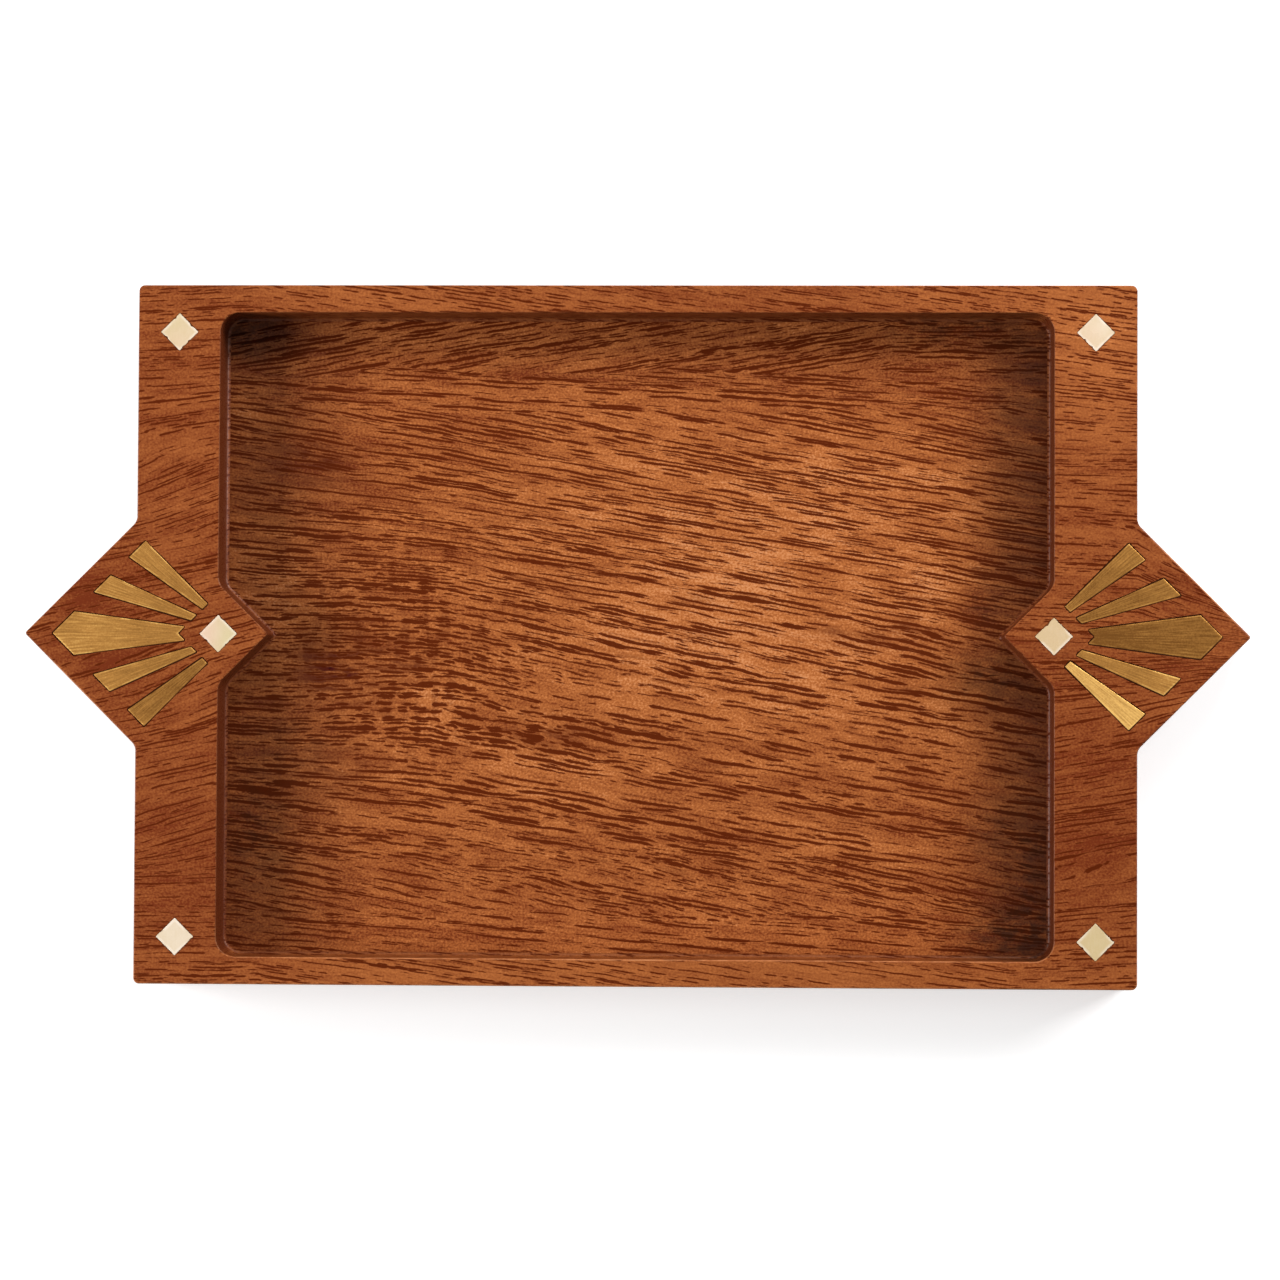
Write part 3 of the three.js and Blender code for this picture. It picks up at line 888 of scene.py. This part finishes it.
def worn_and_highlit_edges(finish, place):
    """How far the rounded edges of the top are paler, here and there: partly worn, partly a painted
    highlight.
    """
    x, y, z = finish.split(place)
    high = finish.ease(z, THICKNESS - PALE_EDGE_FROM, THICKNESS - PALE_EDGE_FULL)
    under_top = finish.number("LESS_THAN", z, THICKNESS - PALE_EDGE_TO)
    edge_patches = finish.patches(place, EDGE_PATCH_GRAIN, EDGE_PATCH_EASE)
    here = finish.spots(place, WORN_AND_HIGHLIT_EDGES, WORN_AND_HIGHLIT_EVERYWHERE)
    return finish.product(high, under_top, edge_patches, here)


# How far the redder wood beside the pores reaches, in cells, and how strong it is
HALO_REACH = 0.11
HALO = 0.65
# How light wood turns into its palest sparks
SPARK_EASE = (0.64, 1.2, 0.0, 0.8)
# How much darker the pocket's walls are painted, a painted shade, and the end grain by how far a
# face looks along x
WALL_SHADE = 0.38
END_GRAIN_EASE = (0.4, 0.8, 0.0, 0.85)
# How the wood shines: on its face, in its pores and how much more where the coves have their
# painted highlight
WOOD_ROUGHNESS = 0.40
PORE_ROUGHNESS = 0.65
WOOD_SHEEN = 0.15
PORE_SHEEN = 0.03
COVE_SHEEN = 0.38
# How deep the pores look, and how high the hair-fine fibres do beside them
PORE_BUMP = (0.25, 0.00012)
HAIR_SHARE = 0.4


def hardwood():
    """Orange-brown wood with dense dark pores, oiled to a satin sheen."""
    finish = Finish("oiled_hardwood")
    place = finish.place()
    x, y, z = finish.split(place)
    on_floor, hollow, reach = pocket_parts(finish, place)
    floor_share = finish.number("MULTIPLY_ADD", on_floor, FLOOR_SHARE, RIM_SHARE)
    curly = finish.product(finish.spots(place, CURLY_FIGURE), on_floor)
    curls = dark_curls(finish, place, curly)
    fibre = along_fibres(finish, place, on_floor, curly)

    # Wood between the pores, and redder wood beside them
    hair = finish.cloud(fibre, *HAIR_GRAIN)
    tone = wood_tone(finish, place, fibre, hair, on_floor, floor_share)
    wood = finish.blend(tone, WOOD_DEEP, WOOD_LIGHT)
    wood = finish.blend(finish.ease(tone, *SPARK_EASE), wood, WOOD_SPARK)
    depth = pore_depth(finish, place, fibre, on_floor, curly, curls)
    halo = finish.ease(depth, -HALO_REACH, PORE_SOFTNESS, 0.0, HALO)
    wood = finish.blend(halo, wood, WOOD_DEEP)

    # Pores, streaks, and stains with painted shade
    pores = finish.ease(depth, 0.0, PORE_SOFTNESS)
    dark = dark_marks(finish, place, fibre, pores, curls, on_floor, floor_share)
    wood = finish.blend(dark, wood, PORE_DARK)
    # Stains, and painted shade in the pocket's corners and along its walls
    stain_and_shade = stains_and_corner_shade(finish, place, fibre, pores, hollow)
    wood = finish.blend(finish.limit(stain_and_shade, 0.0, MOST_STAIN_AND_SHADE), wood, STAIN_AND_SHADE_DARK)

    # Painted shade on the floor, end grain on the faces that cross the fibres, and painted shade on
    # the walls
    # Painted shade on the floor towards its ends and along the foot of the end walls
    end_shade = floor_painted_shade(finish, x, fibre, reach, on_floor)
    wood = finish.blend(end_shade, wood, PAINTED_SHADE_DARK)
    facing = finish.split(finish.node("TexCoord", {}).outputs["Normal"])[0]
    cut_across = finish.ease(finish.number("ABSOLUTE", facing), *END_GRAIN_EASE)
    wood = finish.blend(cut_across, wood, END_GRAIN_DARK)
    wall = finish.product(hollow, finish.number("SUBTRACT", 1.0, on_floor))
    # A painted highlight along the cove at the foot of the walls
    cove_highlight = cove_highlights(finish, place, stain_and_shade, wall)
    # Painted shade on the pocket's walls, left out where the cove has its painted highlight
    wall_shade = finish.product(finish.number("SUBTRACT", wall, cove_highlight), WALL_SHADE)
    wood = finish.blend(wall_shade, wood, PAINTED_SHADE_DARK)
    # Paler rounded edges of the top: partly wear and partly a painted highlight
    wood = finish.blend(worn_and_highlit_edges(finish, place), wood, WOOD_SPARK)
    finish.surface("Base Color", wood)

    roughness = finish.ease(pores, 0.0, 1.0, WOOD_ROUGHNESS, PORE_ROUGHNESS)
    finish.surface("Roughness", roughness)
    sheen = finish.ease(pores, 0.0, 1.0, WOOD_SHEEN, PORE_SHEEN)
    sheen = finish.number("MULTIPLY_ADD", cove_highlight, COVE_SHEEN, sheen)
    # A copy of the tray that can't carry a sheen that varies keeps the plain wood's
    finish.surface("Specular IOR Level", WOOD_SHEEN)
    finish.surface("Specular IOR Level", sheen)
    hairs = finish.product(hair, HAIR_SHARE)
    finish.bump(finish.number("MULTIPLY_ADD", pores, -1.0, hairs), *PORE_BUMP)
    return finish.material


# Brass

BRASS_DULL = colour(0.233, 0.099, 0.022)
BRASS_MIDDLE = colour(0.448, 0.213, 0.051)
BRASS_BRIGHT = colour(0.765, 0.450, 0.132)

# How bright the rays of each fan are by their direction in degrees, from the front to the
# back, a painted reflection: 0 is dull, 0.5 middling and 1 bright
LEFT_FAN_REFLECTION = [(-48, 0.16), (-33, 0.17), (-26, 0.33), (-14, 0.34), (-9, 0.41), (9, 0.42),
            (16, 0.41), (48, 0.41)]
RIGHT_FAN_REFLECTION = [(-48, 0.90), (-34, 0.88), (-26, 0.41), (-14, 0.41), (-9, 0.02), (9, 0.03),
             (15, 0.13), (26, 0.16), (34, 0.20), (48, 0.22)]
# Distance from the focus at which the brush marks are as wide as they are told to be, and how
# far apart the marks of the two fans are read
FAN_MIDDLE = 28.0
FANS_APART = 20.0
# Brush marks, grain and clouds: how coarse they are and how strong
BRUSH_GRAIN = ((8, 0.30, 1), 3.0, 0.6)
BRUSHING = 1.9
BRASS_GRAIN = ((0.45, 0.45, 0.45), 1.0)
GRAIN = 0.9
CLOUD_GRAIN = ((4, 3, 3), 2.0)
CLOUDS = 0.5
# The rays grow brighter outwards, a painted reflection: between these distances from the focus, by
# this much to either side
BRIGHTER_FROM = 14.0
BRIGHTER_BY = 42.0
BRIGHTER = 0.15
# Burnished edges, partly real burnish and partly a painted highlight: how wide, how patchy and how
# much brighter
BURNISH_FULL = 0.20
BURNISH_WIDTH = 0.50
BURNISH_GRAIN = ((4, 4, 4), 1.0)
BURNISH_EASE = (0.38, 0.58)
BURNISH_AND_GLINT = 0.65
# Limits of the tone from dull to middling brass and from there to bright brass
LOW_LIMITS = (-0.2, 1.0)
HIGH_LIMITS = (0.0, 1.3)
# How rough the brush marks are, and how deep they look
BRUSH_ROUGHNESS_EASE = (0.2, 0.8, 0.36, 0.50)
BRUSH_BUMP = (0.3, 0.00004)


def brushed_brass():
    """Brass sheet rubbed along each ray, with burnished edges, and painted reflections and edge
    highlights in its colour.
    """
    finish = Finish("brushed_brass")
    place = finish.place()
    x, y, z = finish.split(place)
    end = finish.number("SIGN", x)
    out = finish.number("SUBTRACT", finish.number("ABSOLUTE", x), FAN_FOCUS_X)
    away = finish.node("VectorMath", {0: finish.join(out, y, 0.0)}, operation="LENGTH")
    away = away.outputs["Value"]
    turn = finish.number("ARCTAN2", y, out)
    degrees = finish.number("DEGREES", turn)

    # Brush marks along the rays, grain and soft clouds
    marks = finish.join(away, finish.product(turn, FAN_MIDDLE), finish.product(end, FANS_APART))
    brushing = finish.cloud(marks, *BRUSH_GRAIN)
    grain = finish.cloud(place, *BRASS_GRAIN)
    clouds = finish.cloud(place, *CLOUD_GRAIN)
    shade = finish.number("MULTIPLY_ADD", brushing, BRUSHING, -BRUSHING / 2)
    shade = finish.number("ADD", shade, -GRAIN / 2)
    shade = finish.number("MULTIPLY_ADD", grain, GRAIN, shade)
    shade = finish.number("ADD", shade, -CLOUDS / 2)
    shade = finish.number("MULTIPLY_ADD", clouds, CLOUDS, shade)

    # How each ray catches the light, painted into its colour as a reflection
    on_right = finish.number("GREATER_THAN", x, 0.0)
    painted_reflection = finish.either(on_right, finish.along_list(degrees, LEFT_FAN_REFLECTION),
                           finish.along_list(degrees, RIGHT_FAN_REFLECTION))
    tone = finish.number("MULTIPLY_ADD", painted_reflection, 2.0, shade)
    outward_reflection = finish.ease(away, BRIGHTER_FROM, BRIGHTER_BY, -BRIGHTER, BRIGHTER)
    tone = finish.number("ADD", tone, outward_reflection)

    # Edges burnished by hands, with a painted highlight, by how far a place is from its ray's edge
    margin = -1.0
    for angle, half_angle in RAYS.values():
        off = finish.number("ABSOLUTE", finish.number("SUBTRACT", degrees, angle))
        margin = finish.number("MAXIMUM", margin, finish.number("SUBTRACT", half_angle, off))
    edge = finish.product(away, finish.number("RADIANS", margin))
    reach = finish.number("ADD", out, finish.number("ABSOLUTE", y))
    for stop in (finish.number("SUBTRACT", RAY_OUTER_REACH, reach),
                 finish.number("SUBTRACT", reach, RAY_INNER_REACH)):
        edge = finish.number("MINIMUM", edge, finish.product(stop, math.sqrt(0.5)))
    burnish_and_glint = finish.ease(edge, BURNISH_FULL, BURNISH_WIDTH, 1.0, 0.0)
    patchy = finish.patches(place, BURNISH_GRAIN, BURNISH_EASE)
    burnish_and_glint = finish.product(burnish_and_glint, patchy)
    tone = finish.number("MULTIPLY_ADD", burnish_and_glint, BURNISH_AND_GLINT, tone)

    low = finish.limit(tone, *LOW_LIMITS)
    high = finish.limit(finish.number("SUBTRACT", tone, 1.0), *HIGH_LIMITS)
    brass = finish.blend(high, finish.blend(low, BRASS_DULL, BRASS_MIDDLE), BRASS_BRIGHT)
    finish.surface("Base Color", brass)
    finish.surface("Metallic", 1.0)
    roughness = finish.ease(brushing, *BRUSH_ROUGHNESS_EASE)
    finish.surface("Roughness", roughness)
    finish.bump(brushing, *BRUSH_BUMP)
    return finish.material


# Mother-of-pearl

PEARL_CREAM = colour(0.660, 0.485, 0.255)
PEARL_PALE = colour(0.840, 0.700, 0.530)
PEARL_PINK = colour(0.840, 0.580, 0.450)
PEARL_GREEN = colour(0.660, 0.590, 0.310)

# Paler, pinker and greener places on the pearls, each (x, y, radius along x, radius along y,
# amount)
PALE_PEARL = [(-116, -77, 9, 9, 0.90), (116, 77, 9, 9, 0.50), (-116, 77, 9, 9, 0.28),
              (-106, 0, 9, 9, 0.38), (119, 79, 3, 3, 0.3)]
PINK_PEARL = [(-109, 0, 3.5, 4.5, 0.60), (115, 76, 4, 4, 0.25), (-117, 75, 4, 4, 0.20),
              (106, 1, 6, 6, 0.15)]
GREEN_PEARL = [(-103.5, -1, 3, 4.5, 0.45), (117, -77, 5, 5, 0.22), (-118, 79, 4, 3, 0.20)]
# How pale the shell is elsewhere, and what its layers and growth lines add
PLAIN_PEARL = -0.30
LAYER_GRAIN = ((3.5, 3.0, 3.0), 2.0)
LAYERS = 0.30
LINE_GRAIN = ((0.5, 2.4, 2.4), 2.0)
LINE_SHIFT = (40, 13, 5)
LINES = 0.35
LINE_BUMP = (0.08, 0.00005)
# Polished margins: how far in from the edge they begin and are full, and how much paler
POLISHED_FROM = 1.3
POLISHED_FULL = 0.3
POLISHED_GRAIN = ((5, 5, 5), 1.0)
POLISHED_EASE = (0.38, 0.60)
POLISHED = 0.9
# Limits of how pale the shell is, and how rough its layers are
PALE_LIMITS = (0.0, 1.3)
LAYER_ROUGHNESS_EASE = (0.2, 0.8, 0.22, 0.38)
# Further than any place on the tray is from a pearl
FAR_AWAY = 1000.0


def mother_of_pearl():
    """Cream shell with clouds of pink and green, faint growth lines and paler edges."""
    finish = Finish("mother_of_pearl")
    place = finish.place()
    x, y, z = finish.split(place)
    layers = finish.cloud(place, *LAYER_GRAIN)
    lines = finish.cloud(finish.vector("ADD", place, LINE_SHIFT), *LINE_GRAIN)
    pale = finish.spots(place, PALE_PEARL, PLAIN_PEARL)
    pale = finish.number("MULTIPLY_ADD", layers, LAYERS, pale)
    pale = finish.number("MULTIPLY_ADD", lines, LINES, pale)

    # How far a place is from the middle of its pearl, in the diamond's own measure
    across = finish.number("ABSOLUTE", x)
    back = finish.number("ABSOLUTE", y)
    from_middle = FAR_AWAY
    for middle_x, middle_y in ((CORNER_PEARL_X, CORNER_PEARL_Y), (POCKET_HALF_LENGTH, 0.0)):
        off_x = finish.number("ABSOLUTE", finish.number("SUBTRACT", across, middle_x))
        off_y = finish.number("ABSOLUTE", finish.number("SUBTRACT", back, middle_y))
        total = finish.number("ADD", off_x, off_y)
        from_middle = finish.number("MINIMUM", from_middle, total)
    polished = finish.ease(from_middle, PEARL_HALF_DIAGONAL - POLISHED_FROM,
                           PEARL_HALF_DIAGONAL - POLISHED_FULL)
    patchy = finish.patches(place, POLISHED_GRAIN, POLISHED_EASE)
    polished = finish.product(polished, patchy)
    pale = finish.number("MULTIPLY_ADD", polished, POLISHED, pale)

    shell = finish.blend(finish.limit(pale, *PALE_LIMITS), PEARL_CREAM, PEARL_PALE)
    shell = finish.blend(finish.spots(place, PINK_PEARL), shell, PEARL_PINK)
    shell = finish.blend(finish.spots(place, GREEN_PEARL), shell, PEARL_GREEN)
    finish.surface("Base Color", shell)
    roughness = finish.ease(layers, *LAYER_ROUGHNESS_EASE)
    finish.surface("Roughness", roughness)
    finish.bump(lines, *LINE_BUMP)
    return finish.material


# Glue

GLUE_GRAIN = ((0.8, 0.8, 0.8), 2.0)
GLUE_SHEEN = 0.05
GLUE_ROUGHNESS_EASE = (0.2, 0.8, 0.5, 0.7)
GLUE_BUMP = (0.3, 0.0001)


def hard_glue(name, dark, light):
    """Hardened glue, a little uneven."""
    finish = Finish(name)
    lumps = finish.cloud(finish.place(), *GLUE_GRAIN)
    finish.surface("Base Color", finish.blend(lumps, dark, light))
    roughness = finish.ease(lumps, *GLUE_ROUGHNESS_EASE)
    finish.surface("Roughness", roughness)
    finish.surface("Specular IOR Level", GLUE_SHEEN)
    finish.bump(lumps, *GLUE_BUMP)
    return finish.material


WOOD_FINISH = hardwood()
BRASS_FINISH = brushed_brass()
PEARL_FINISH = mother_of_pearl()
DARK_GLUE = hard_glue(
    "dark_glue", colour(0.020, 0.004, 0.001), colour(0.060, 0.014, 0.003))
AMBER_GLUE = hard_glue(
    "amber_glue", colour(0.120, 0.028, 0.006), colour(0.240, 0.070, 0.018))


# Inlays

# Radii of the inlays' rounded upper edges
BRASS_EDGE = 0.12
PEARL_EDGE = 0.08
# How far the glue has sunk between an inlay and the wood, and how far it stays clear of them
GLUE_SINK = 0.08
HAIR_GAP = 0.01
# The glue line's mean width and how far it wanders, as shares of the plain glue line
BRASS_GLUE_SHARES = (0.95, 0.40)
PEARL_GLUE_SHARES = (0.36, 0.08)
GLUE_WAVES = 14
GLUE_FIRST_SEED = 100
# How deep the nicks in the sawn edge of a pearl are, how many it has, how wide they are as
# shares of the way round, and the fine wander of the edge
NICK_DEPTH = 0.32
NICK_COUNT = 7
NICK_WIDTH_SHARES = (0.006, 0.022)
LEAST_NICK_SHARE = 0.2
SAW_WANDER = 0.04
SAW_WAVES = 50


def list_inlays():
    """Each inlay's name with its outline, thickness, edge, finish and material slot."""
    inlays = []
    for end_name, end in (("left", -1), ("right", 1)):
        for name, (angle, half_angle) in RAYS.items():
            corners = ray_corners(angle, half_angle)
            outline = placed_outline(corners, end, end * FAN_FOCUS_X, 0.0)
            inlays.append((f"{end_name}_{name}", outline, BRASS_THICKNESS, BRASS_EDGE,
                           BRASS_FINISH, "brass"))
        for name, x, y in (("handle_pearl", POCKET_HALF_LENGTH, 0.0),
                           ("back_corner_pearl", CORNER_PEARL_X, CORNER_PEARL_Y),
                           ("front_corner_pearl", CORNER_PEARL_X, -CORNER_PEARL_Y)):
            outline = placed_outline(diamond_corners(), end, end * x, y)
            inlays.append((f"{end_name}_{name}", outline, PEARL_THICKNESS, PEARL_EDGE,
                           PEARL_FINISH, "pearl"))
    return inlays


def sawn_edge(count, seed):
    """How far a pearl's sawn edge falls short of its outline at each of its points.

    A small wander plus nicks, each its depth times e to the power -(away / width) squared,
    with away measured round the outline. All of it fades out towards the corners, by the
    square root of sin(pi t) along a side.
    """
    dice = np.random.RandomState(seed)
    side = np.linspace(0, 1, INLAY_SIDE_STEPS + 1)[1:-1]
    fade = np.concatenate([np.zeros(ARC_STEPS + 1), np.sqrt(np.sin(np.pi * side))])
    fade = np.tile(fade, count // len(fade))
    share = np.arange(count) / count
    middle = dice.uniform(0, 1, NICK_COUNT)[:, None]
    width = dice.uniform(*NICK_WIDTH_SHARES, NICK_COUNT)[:, None]
    depth = dice.uniform(LEAST_NICK_SHARE, 1, NICK_COUNT)[:, None] * NICK_DEPTH
    away = np.abs(share - middle)
    away = np.minimum(away, 1 - away)
    nicks = (depth * np.exp(-(away / width) ** 2)).max(axis=0)
    return fade * (nicks + SAW_WANDER * (1 + wandering(count, seed, SAW_WAVES)))


def inlay_plate(name, outline, thickness, edge, worn, finish):
    """A plate with a softly rounded upper edge: its profile runs from the underside up the
    wall, over the edge and a little way in."""
    points, normals = outline
    shell = Shell()
    floor = THICKNESS - thickness
    profile = [(-worn, floor)]
    rounding = quarter_round(edge, INLAY_EDGE_STEPS)
    profile += [(-worn - back, THICKNESS - drop) for back, drop in rounding]
    profile += [(-worn - edge - EDGE_BAND, THICKNESS)]
    rings = shell.rings(points, normals, profile)
    shell.skin(rings)
    shell.cover(rings[0], faces_up=False)
    shell.cover(rings[-1])
    plate = shell.piece(name + "_plate", finish)
    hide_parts(name)


def glue_gap(count, seed, slot):
    """Width of the glue line at each point round an inlay: it wanders about the plain gap
    round the brass, and the pearls fit more tightly."""
    mean, wander = BRASS_GLUE_SHARES if slot == "brass" else PEARL_GLUE_SHARES
    return GLUE_LINE * (mean + wander * wandering(count, GLUE_FIRST_SEED + seed, GLUE_WAVES))


def glue_ring(shell, outline, thickness, worn, gap):
    """Glue between an inlay and the wood: a closed profile carried round the inlay, with a
    hollow along the middle of its top."""
    points, normals = outline
    low = THICKNESS - thickness + HAIR_GAP
    high = THICKNESS - GLUE_SINK
    inner = HAIR_GAP - worn
    outer = gap - HAIR_GAP
    middle = (inner + outer) / 2
    profile = [(inner, high), (middle, high - GLUE_SINK), (outer, high), (outer, low),
               (inner, low)]
    shell.skin(shell.rings(points, normals, profile), closed=True)


def inlay_pieces(inlays):
    """A plate for every inlay, and the glue round all inlays of a kind as one piece."""
    glue_lines = {"brass": Shell(), "pearl": Shell()}
    for number, (name, outline, thickness, edge, finish, slot) in enumerate(inlays):
        count = len(outline[0])
        worn = sawn_edge(count, number) if slot == "pearl" else np.zeros(count)
        inlay_plate(name, outline, thickness, edge, worn, finish)
        glue_ring(glue_lines[slot], outline, thickness, worn, glue_gap(count, number, slot))
    for slot, finish in (("brass", DARK_GLUE), ("pearl", AMBER_GLUE)):
        lines = glue_lines[slot].piece(slot + "_glue_lines", finish)


# Tray body

# The pocket's rounded upper edge, how far it and the slab's edges wander as a share of their
# radius, and the wanders' seeds and waves
POCKET_EASED_EDGE = 0.35
POCKET_EDGE_SHARE = 0.30
SLAB_EDGE_SHARE = 0.25
POCKET_EDGE_SEED = 11
SLAB_EDGE_SEED = 5
EDGE_WAVES = 40


def cove_profile():
    """(in, up) pairs down the cove: radius (1 - cos a) inwards and radius (1 - sin a) up."""
    cove = quarter_round(COVE_RADIUS, EDGE_STEPS)
    return [(drop, back) for back, drop in cove[::-1]]


def tray_body(inlays):
    """The wood as one closed surface: a profile carried round the slab's outline from the
    underside to the top, and another round the pocket's outline from the top to the floor."""
    shell = Shell()
    points, normals = slab_outline()
    wander = wandering(len(points), SLAB_EDGE_SEED, EDGE_WAVES)
    ease = EASED_EDGE * (1 + SLAB_EDGE_SHARE * wander)
    rounding = quarter_round(ease, EDGE_STEPS)
    profile = [(-ease - EDGE_BAND, 0.0)]
    profile += [(-back, drop) for back, drop in rounding[::-1]]
    profile += [(-back, THICKNESS - drop) for back, drop in rounding]
    profile += [(-ease - EDGE_BAND, THICKNESS)]
    outer = shell.rings(points, normals, profile)
    shell.skin(outer)
    shell.cover(outer[0], faces_up=False)

    points, normals = pocket_outline()
    wander = wandering(len(points), POCKET_EDGE_SEED, EDGE_WAVES)
    ease = POCKET_EASED_EDGE * (1 + POCKET_EDGE_SHARE * wander)
    rounding = quarter_round(ease, EDGE_STEPS)
    profile = [(ease + EDGE_BAND, THICKNESS)]
    profile += [(back, THICKNESS - drop) for back, drop in rounding[::-1]]
    profile += [(-back, FLOOR_HEIGHT + drop) for back, drop in cove_profile()]
    profile += [(-COVE_RADIUS - EDGE_BAND, FLOOR_HEIGHT)]
    pocket = shell.rings(points, normals, profile)
    shell.skin(pocket)
    shell.cover(pocket[-1])

    mouths = []
    for number, inlay in enumerate(inlays):
        name, (points, normals), thickness, edge, finish, slot = inlay
        gap = glue_gap(len(points), number, slot)
        recess = shell.rings(points, normals, [
            (gap, THICKNESS), (gap, THICKNESS - thickness)])
        shell.skin(recess)
        shell.cover(recess[1])
        mouths.append(recess[0])
    shell.cover(outer[-1], [pocket[0], *mouths])
    body = shell.piece("hardwood_body", WOOD_FINISH)
    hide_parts("tray_body")


inlays = list_inlays()
tray_body(inlays)
inlay_pieces(inlays)


# Table, light and camera

TABLE_WHITE = colour(0.80, 0.80, 0.80)
TABLE_PALER = colour(0.82, 0.82, 0.82)
TABLE_GRAIN = ((2, 2, 2), 2.0)
TABLE_ROUGHNESS = 0.9
TABLE_HALF_SIDE = 3000.0
# What the table adds to its own light for the camera, as a share of white
TABLE_LIFT = 0.5
# How far from the tray's middle the table begins to fade into white, and where it has
WHITE_FROM = 450.0
WHITE_BY = 1100.0
# The surroundings' strength as light and in reflections. The camera sees them as white
SKY_STRENGTH = 0.12
SKY_MIRRORED = 0.8

# Lamps: name, place and two sides in metres, and power in watts
LAMPS = [
    ("right_lamp", (0.863, 0.498, 0.465), 0.50, 0.45, 11.0),
    ("back_lamp", (0.220, 0.810, 0.700), 0.60, 0.45, 4.0),
    ("left_lamp", (-0.993, -0.087, 0.465), 0.50, 0.45, 12.0),
]

# The camera fitted to the tray's edges in the photo: its focal length in pixels, its place in
# millimetres and its turn in radians
PHOTO_WIDTH = 1280
FOCAL_PIXELS = 3950.5
SENSOR_WIDTH = 36.0
CAMERA_PLACE = (37.17, -33.97, 1019.0)
CAMERA_TURN = (0.03288, 0.0356, 0.0049)


def seen_directly(finish):
    """1 for a ray from the camera or one mirrored or passed through, and 0 for the rest."""
    path = finish.node("LightPath", {}).outputs
    seen = finish.number("MAXIMUM", path["Is Camera Ray"], path["Is Glossy Ray"])
    return finish.number("MAXIMUM", seen, path["Is Transmission Ray"])


def table():
    """A white table that keeps the tray's shadow."""
    finish = Finish("white_table")
    grain = finish.cloud(finish.place(), *TABLE_GRAIN)
    finish.surface("Base Color", finish.blend(grain, TABLE_WHITE, TABLE_PALER))
    finish.surface("Roughness", TABLE_ROUGHNESS)
    seen = seen_directly(finish)
    glow = finish.node("Emission", {"Strength": finish.product(seen, TABLE_LIFT)})
    both = finish.node("AddShader", {0: finish.shader.outputs[0], 1: glow.outputs[0]})
    away = finish.node("VectorMath", {0: finish.place()}, operation="LENGTH").outputs["Value"]
    far = finish.product(seen, finish.ease(away, WHITE_FROM, WHITE_BY))
    plain_white = finish.node("Emission", {"Strength": 1.0})
    surface = finish.node("MixShader", {0: far, 1: both.outputs[0], 2: plain_white.outputs[0]})
    output = finish.tree.nodes["Material Output"]
    finish.tree.links.new(surface.outputs[0], output.inputs["Surface"])
    side = TABLE_HALF_SIDE * MILLIMETRE
    corners = [(-side, -side, 0.0), (side, -side, 0.0), (side, side, 0.0), (-side, side, 0.0)]
    mesh = bpy.data.meshes.new("table")
    mesh.from_pydata(corners, [], [(0, 1, 2, 3)])
    mesh.materials.append(finish.material)
    top = bpy.data.objects.new("table", mesh)
    bpy.context.scene.collection.objects.link(top)


def soft_lamp(name, place, width, height, power):
    """A rectangular lamp in metres and watts that faces the tray."""
    light = bpy.data.lights.new(name, "AREA")
    light.shape = "RECTANGLE"
    light.size = width
    light.size_y = height
    light.energy = power
    lamp = bpy.data.objects.new(name, light)
    lamp.location = place
    lamp.rotation_euler = (-Vector(place)).to_track_quat("-Z", "Y").to_euler()
    bpy.context.scene.collection.objects.link(lamp)


def surroundings():
    """A white surrounding to look at, a little less in reflections, and a dimmer one for
    soft light."""
    world = bpy.data.worlds.new("surroundings")
    bpy.context.scene.world = world
    world.use_nodes = True
    tree = world.node_tree
    background = tree.nodes["Background"]
    background.inputs["Color"].default_value = colour(1.0, 1.0, 1.0)
    path = tree.nodes.new("ShaderNodeLightPath")
    mirrored = tree.nodes.new("ShaderNodeMapRange")
    tree.links.new(path.outputs["Is Glossy Ray"], mirrored.inputs[0])
    mirrored.inputs[3].default_value = SKY_STRENGTH
    mirrored.inputs[4].default_value = SKY_MIRRORED
    strength = tree.nodes.new("ShaderNodeMapRange")
    tree.links.new(path.outputs["Is Camera Ray"], strength.inputs[0])
    tree.links.new(mirrored.outputs[0], strength.inputs[3])
    strength.inputs[4].default_value = 1.0
    tree.links.new(strength.outputs[0], background.inputs["Strength"])


def camera():
    """The camera that looks down at the tray as the photo does."""
    lens = bpy.data.cameras.new("camera")
    lens.sensor_width = SENSOR_WIDTH
    lens.lens = FOCAL_PIXELS / PHOTO_WIDTH * SENSOR_WIDTH
    looking = bpy.data.objects.new("camera", lens)
    looking.location = np.array(CAMERA_PLACE) * MILLIMETRE
    looking.rotation_euler = Euler(CAMERA_TURN, "XYZ")
    bpy.context.scene.collection.objects.link(looking)
    bpy.context.scene.camera = looking


table()
surroundings()
for name, place, width, height, power in LAMPS:
    soft_lamp(name, place, width, height, power)
camera()
bpy.context.scene.view_settings.view_transform = "Standard"
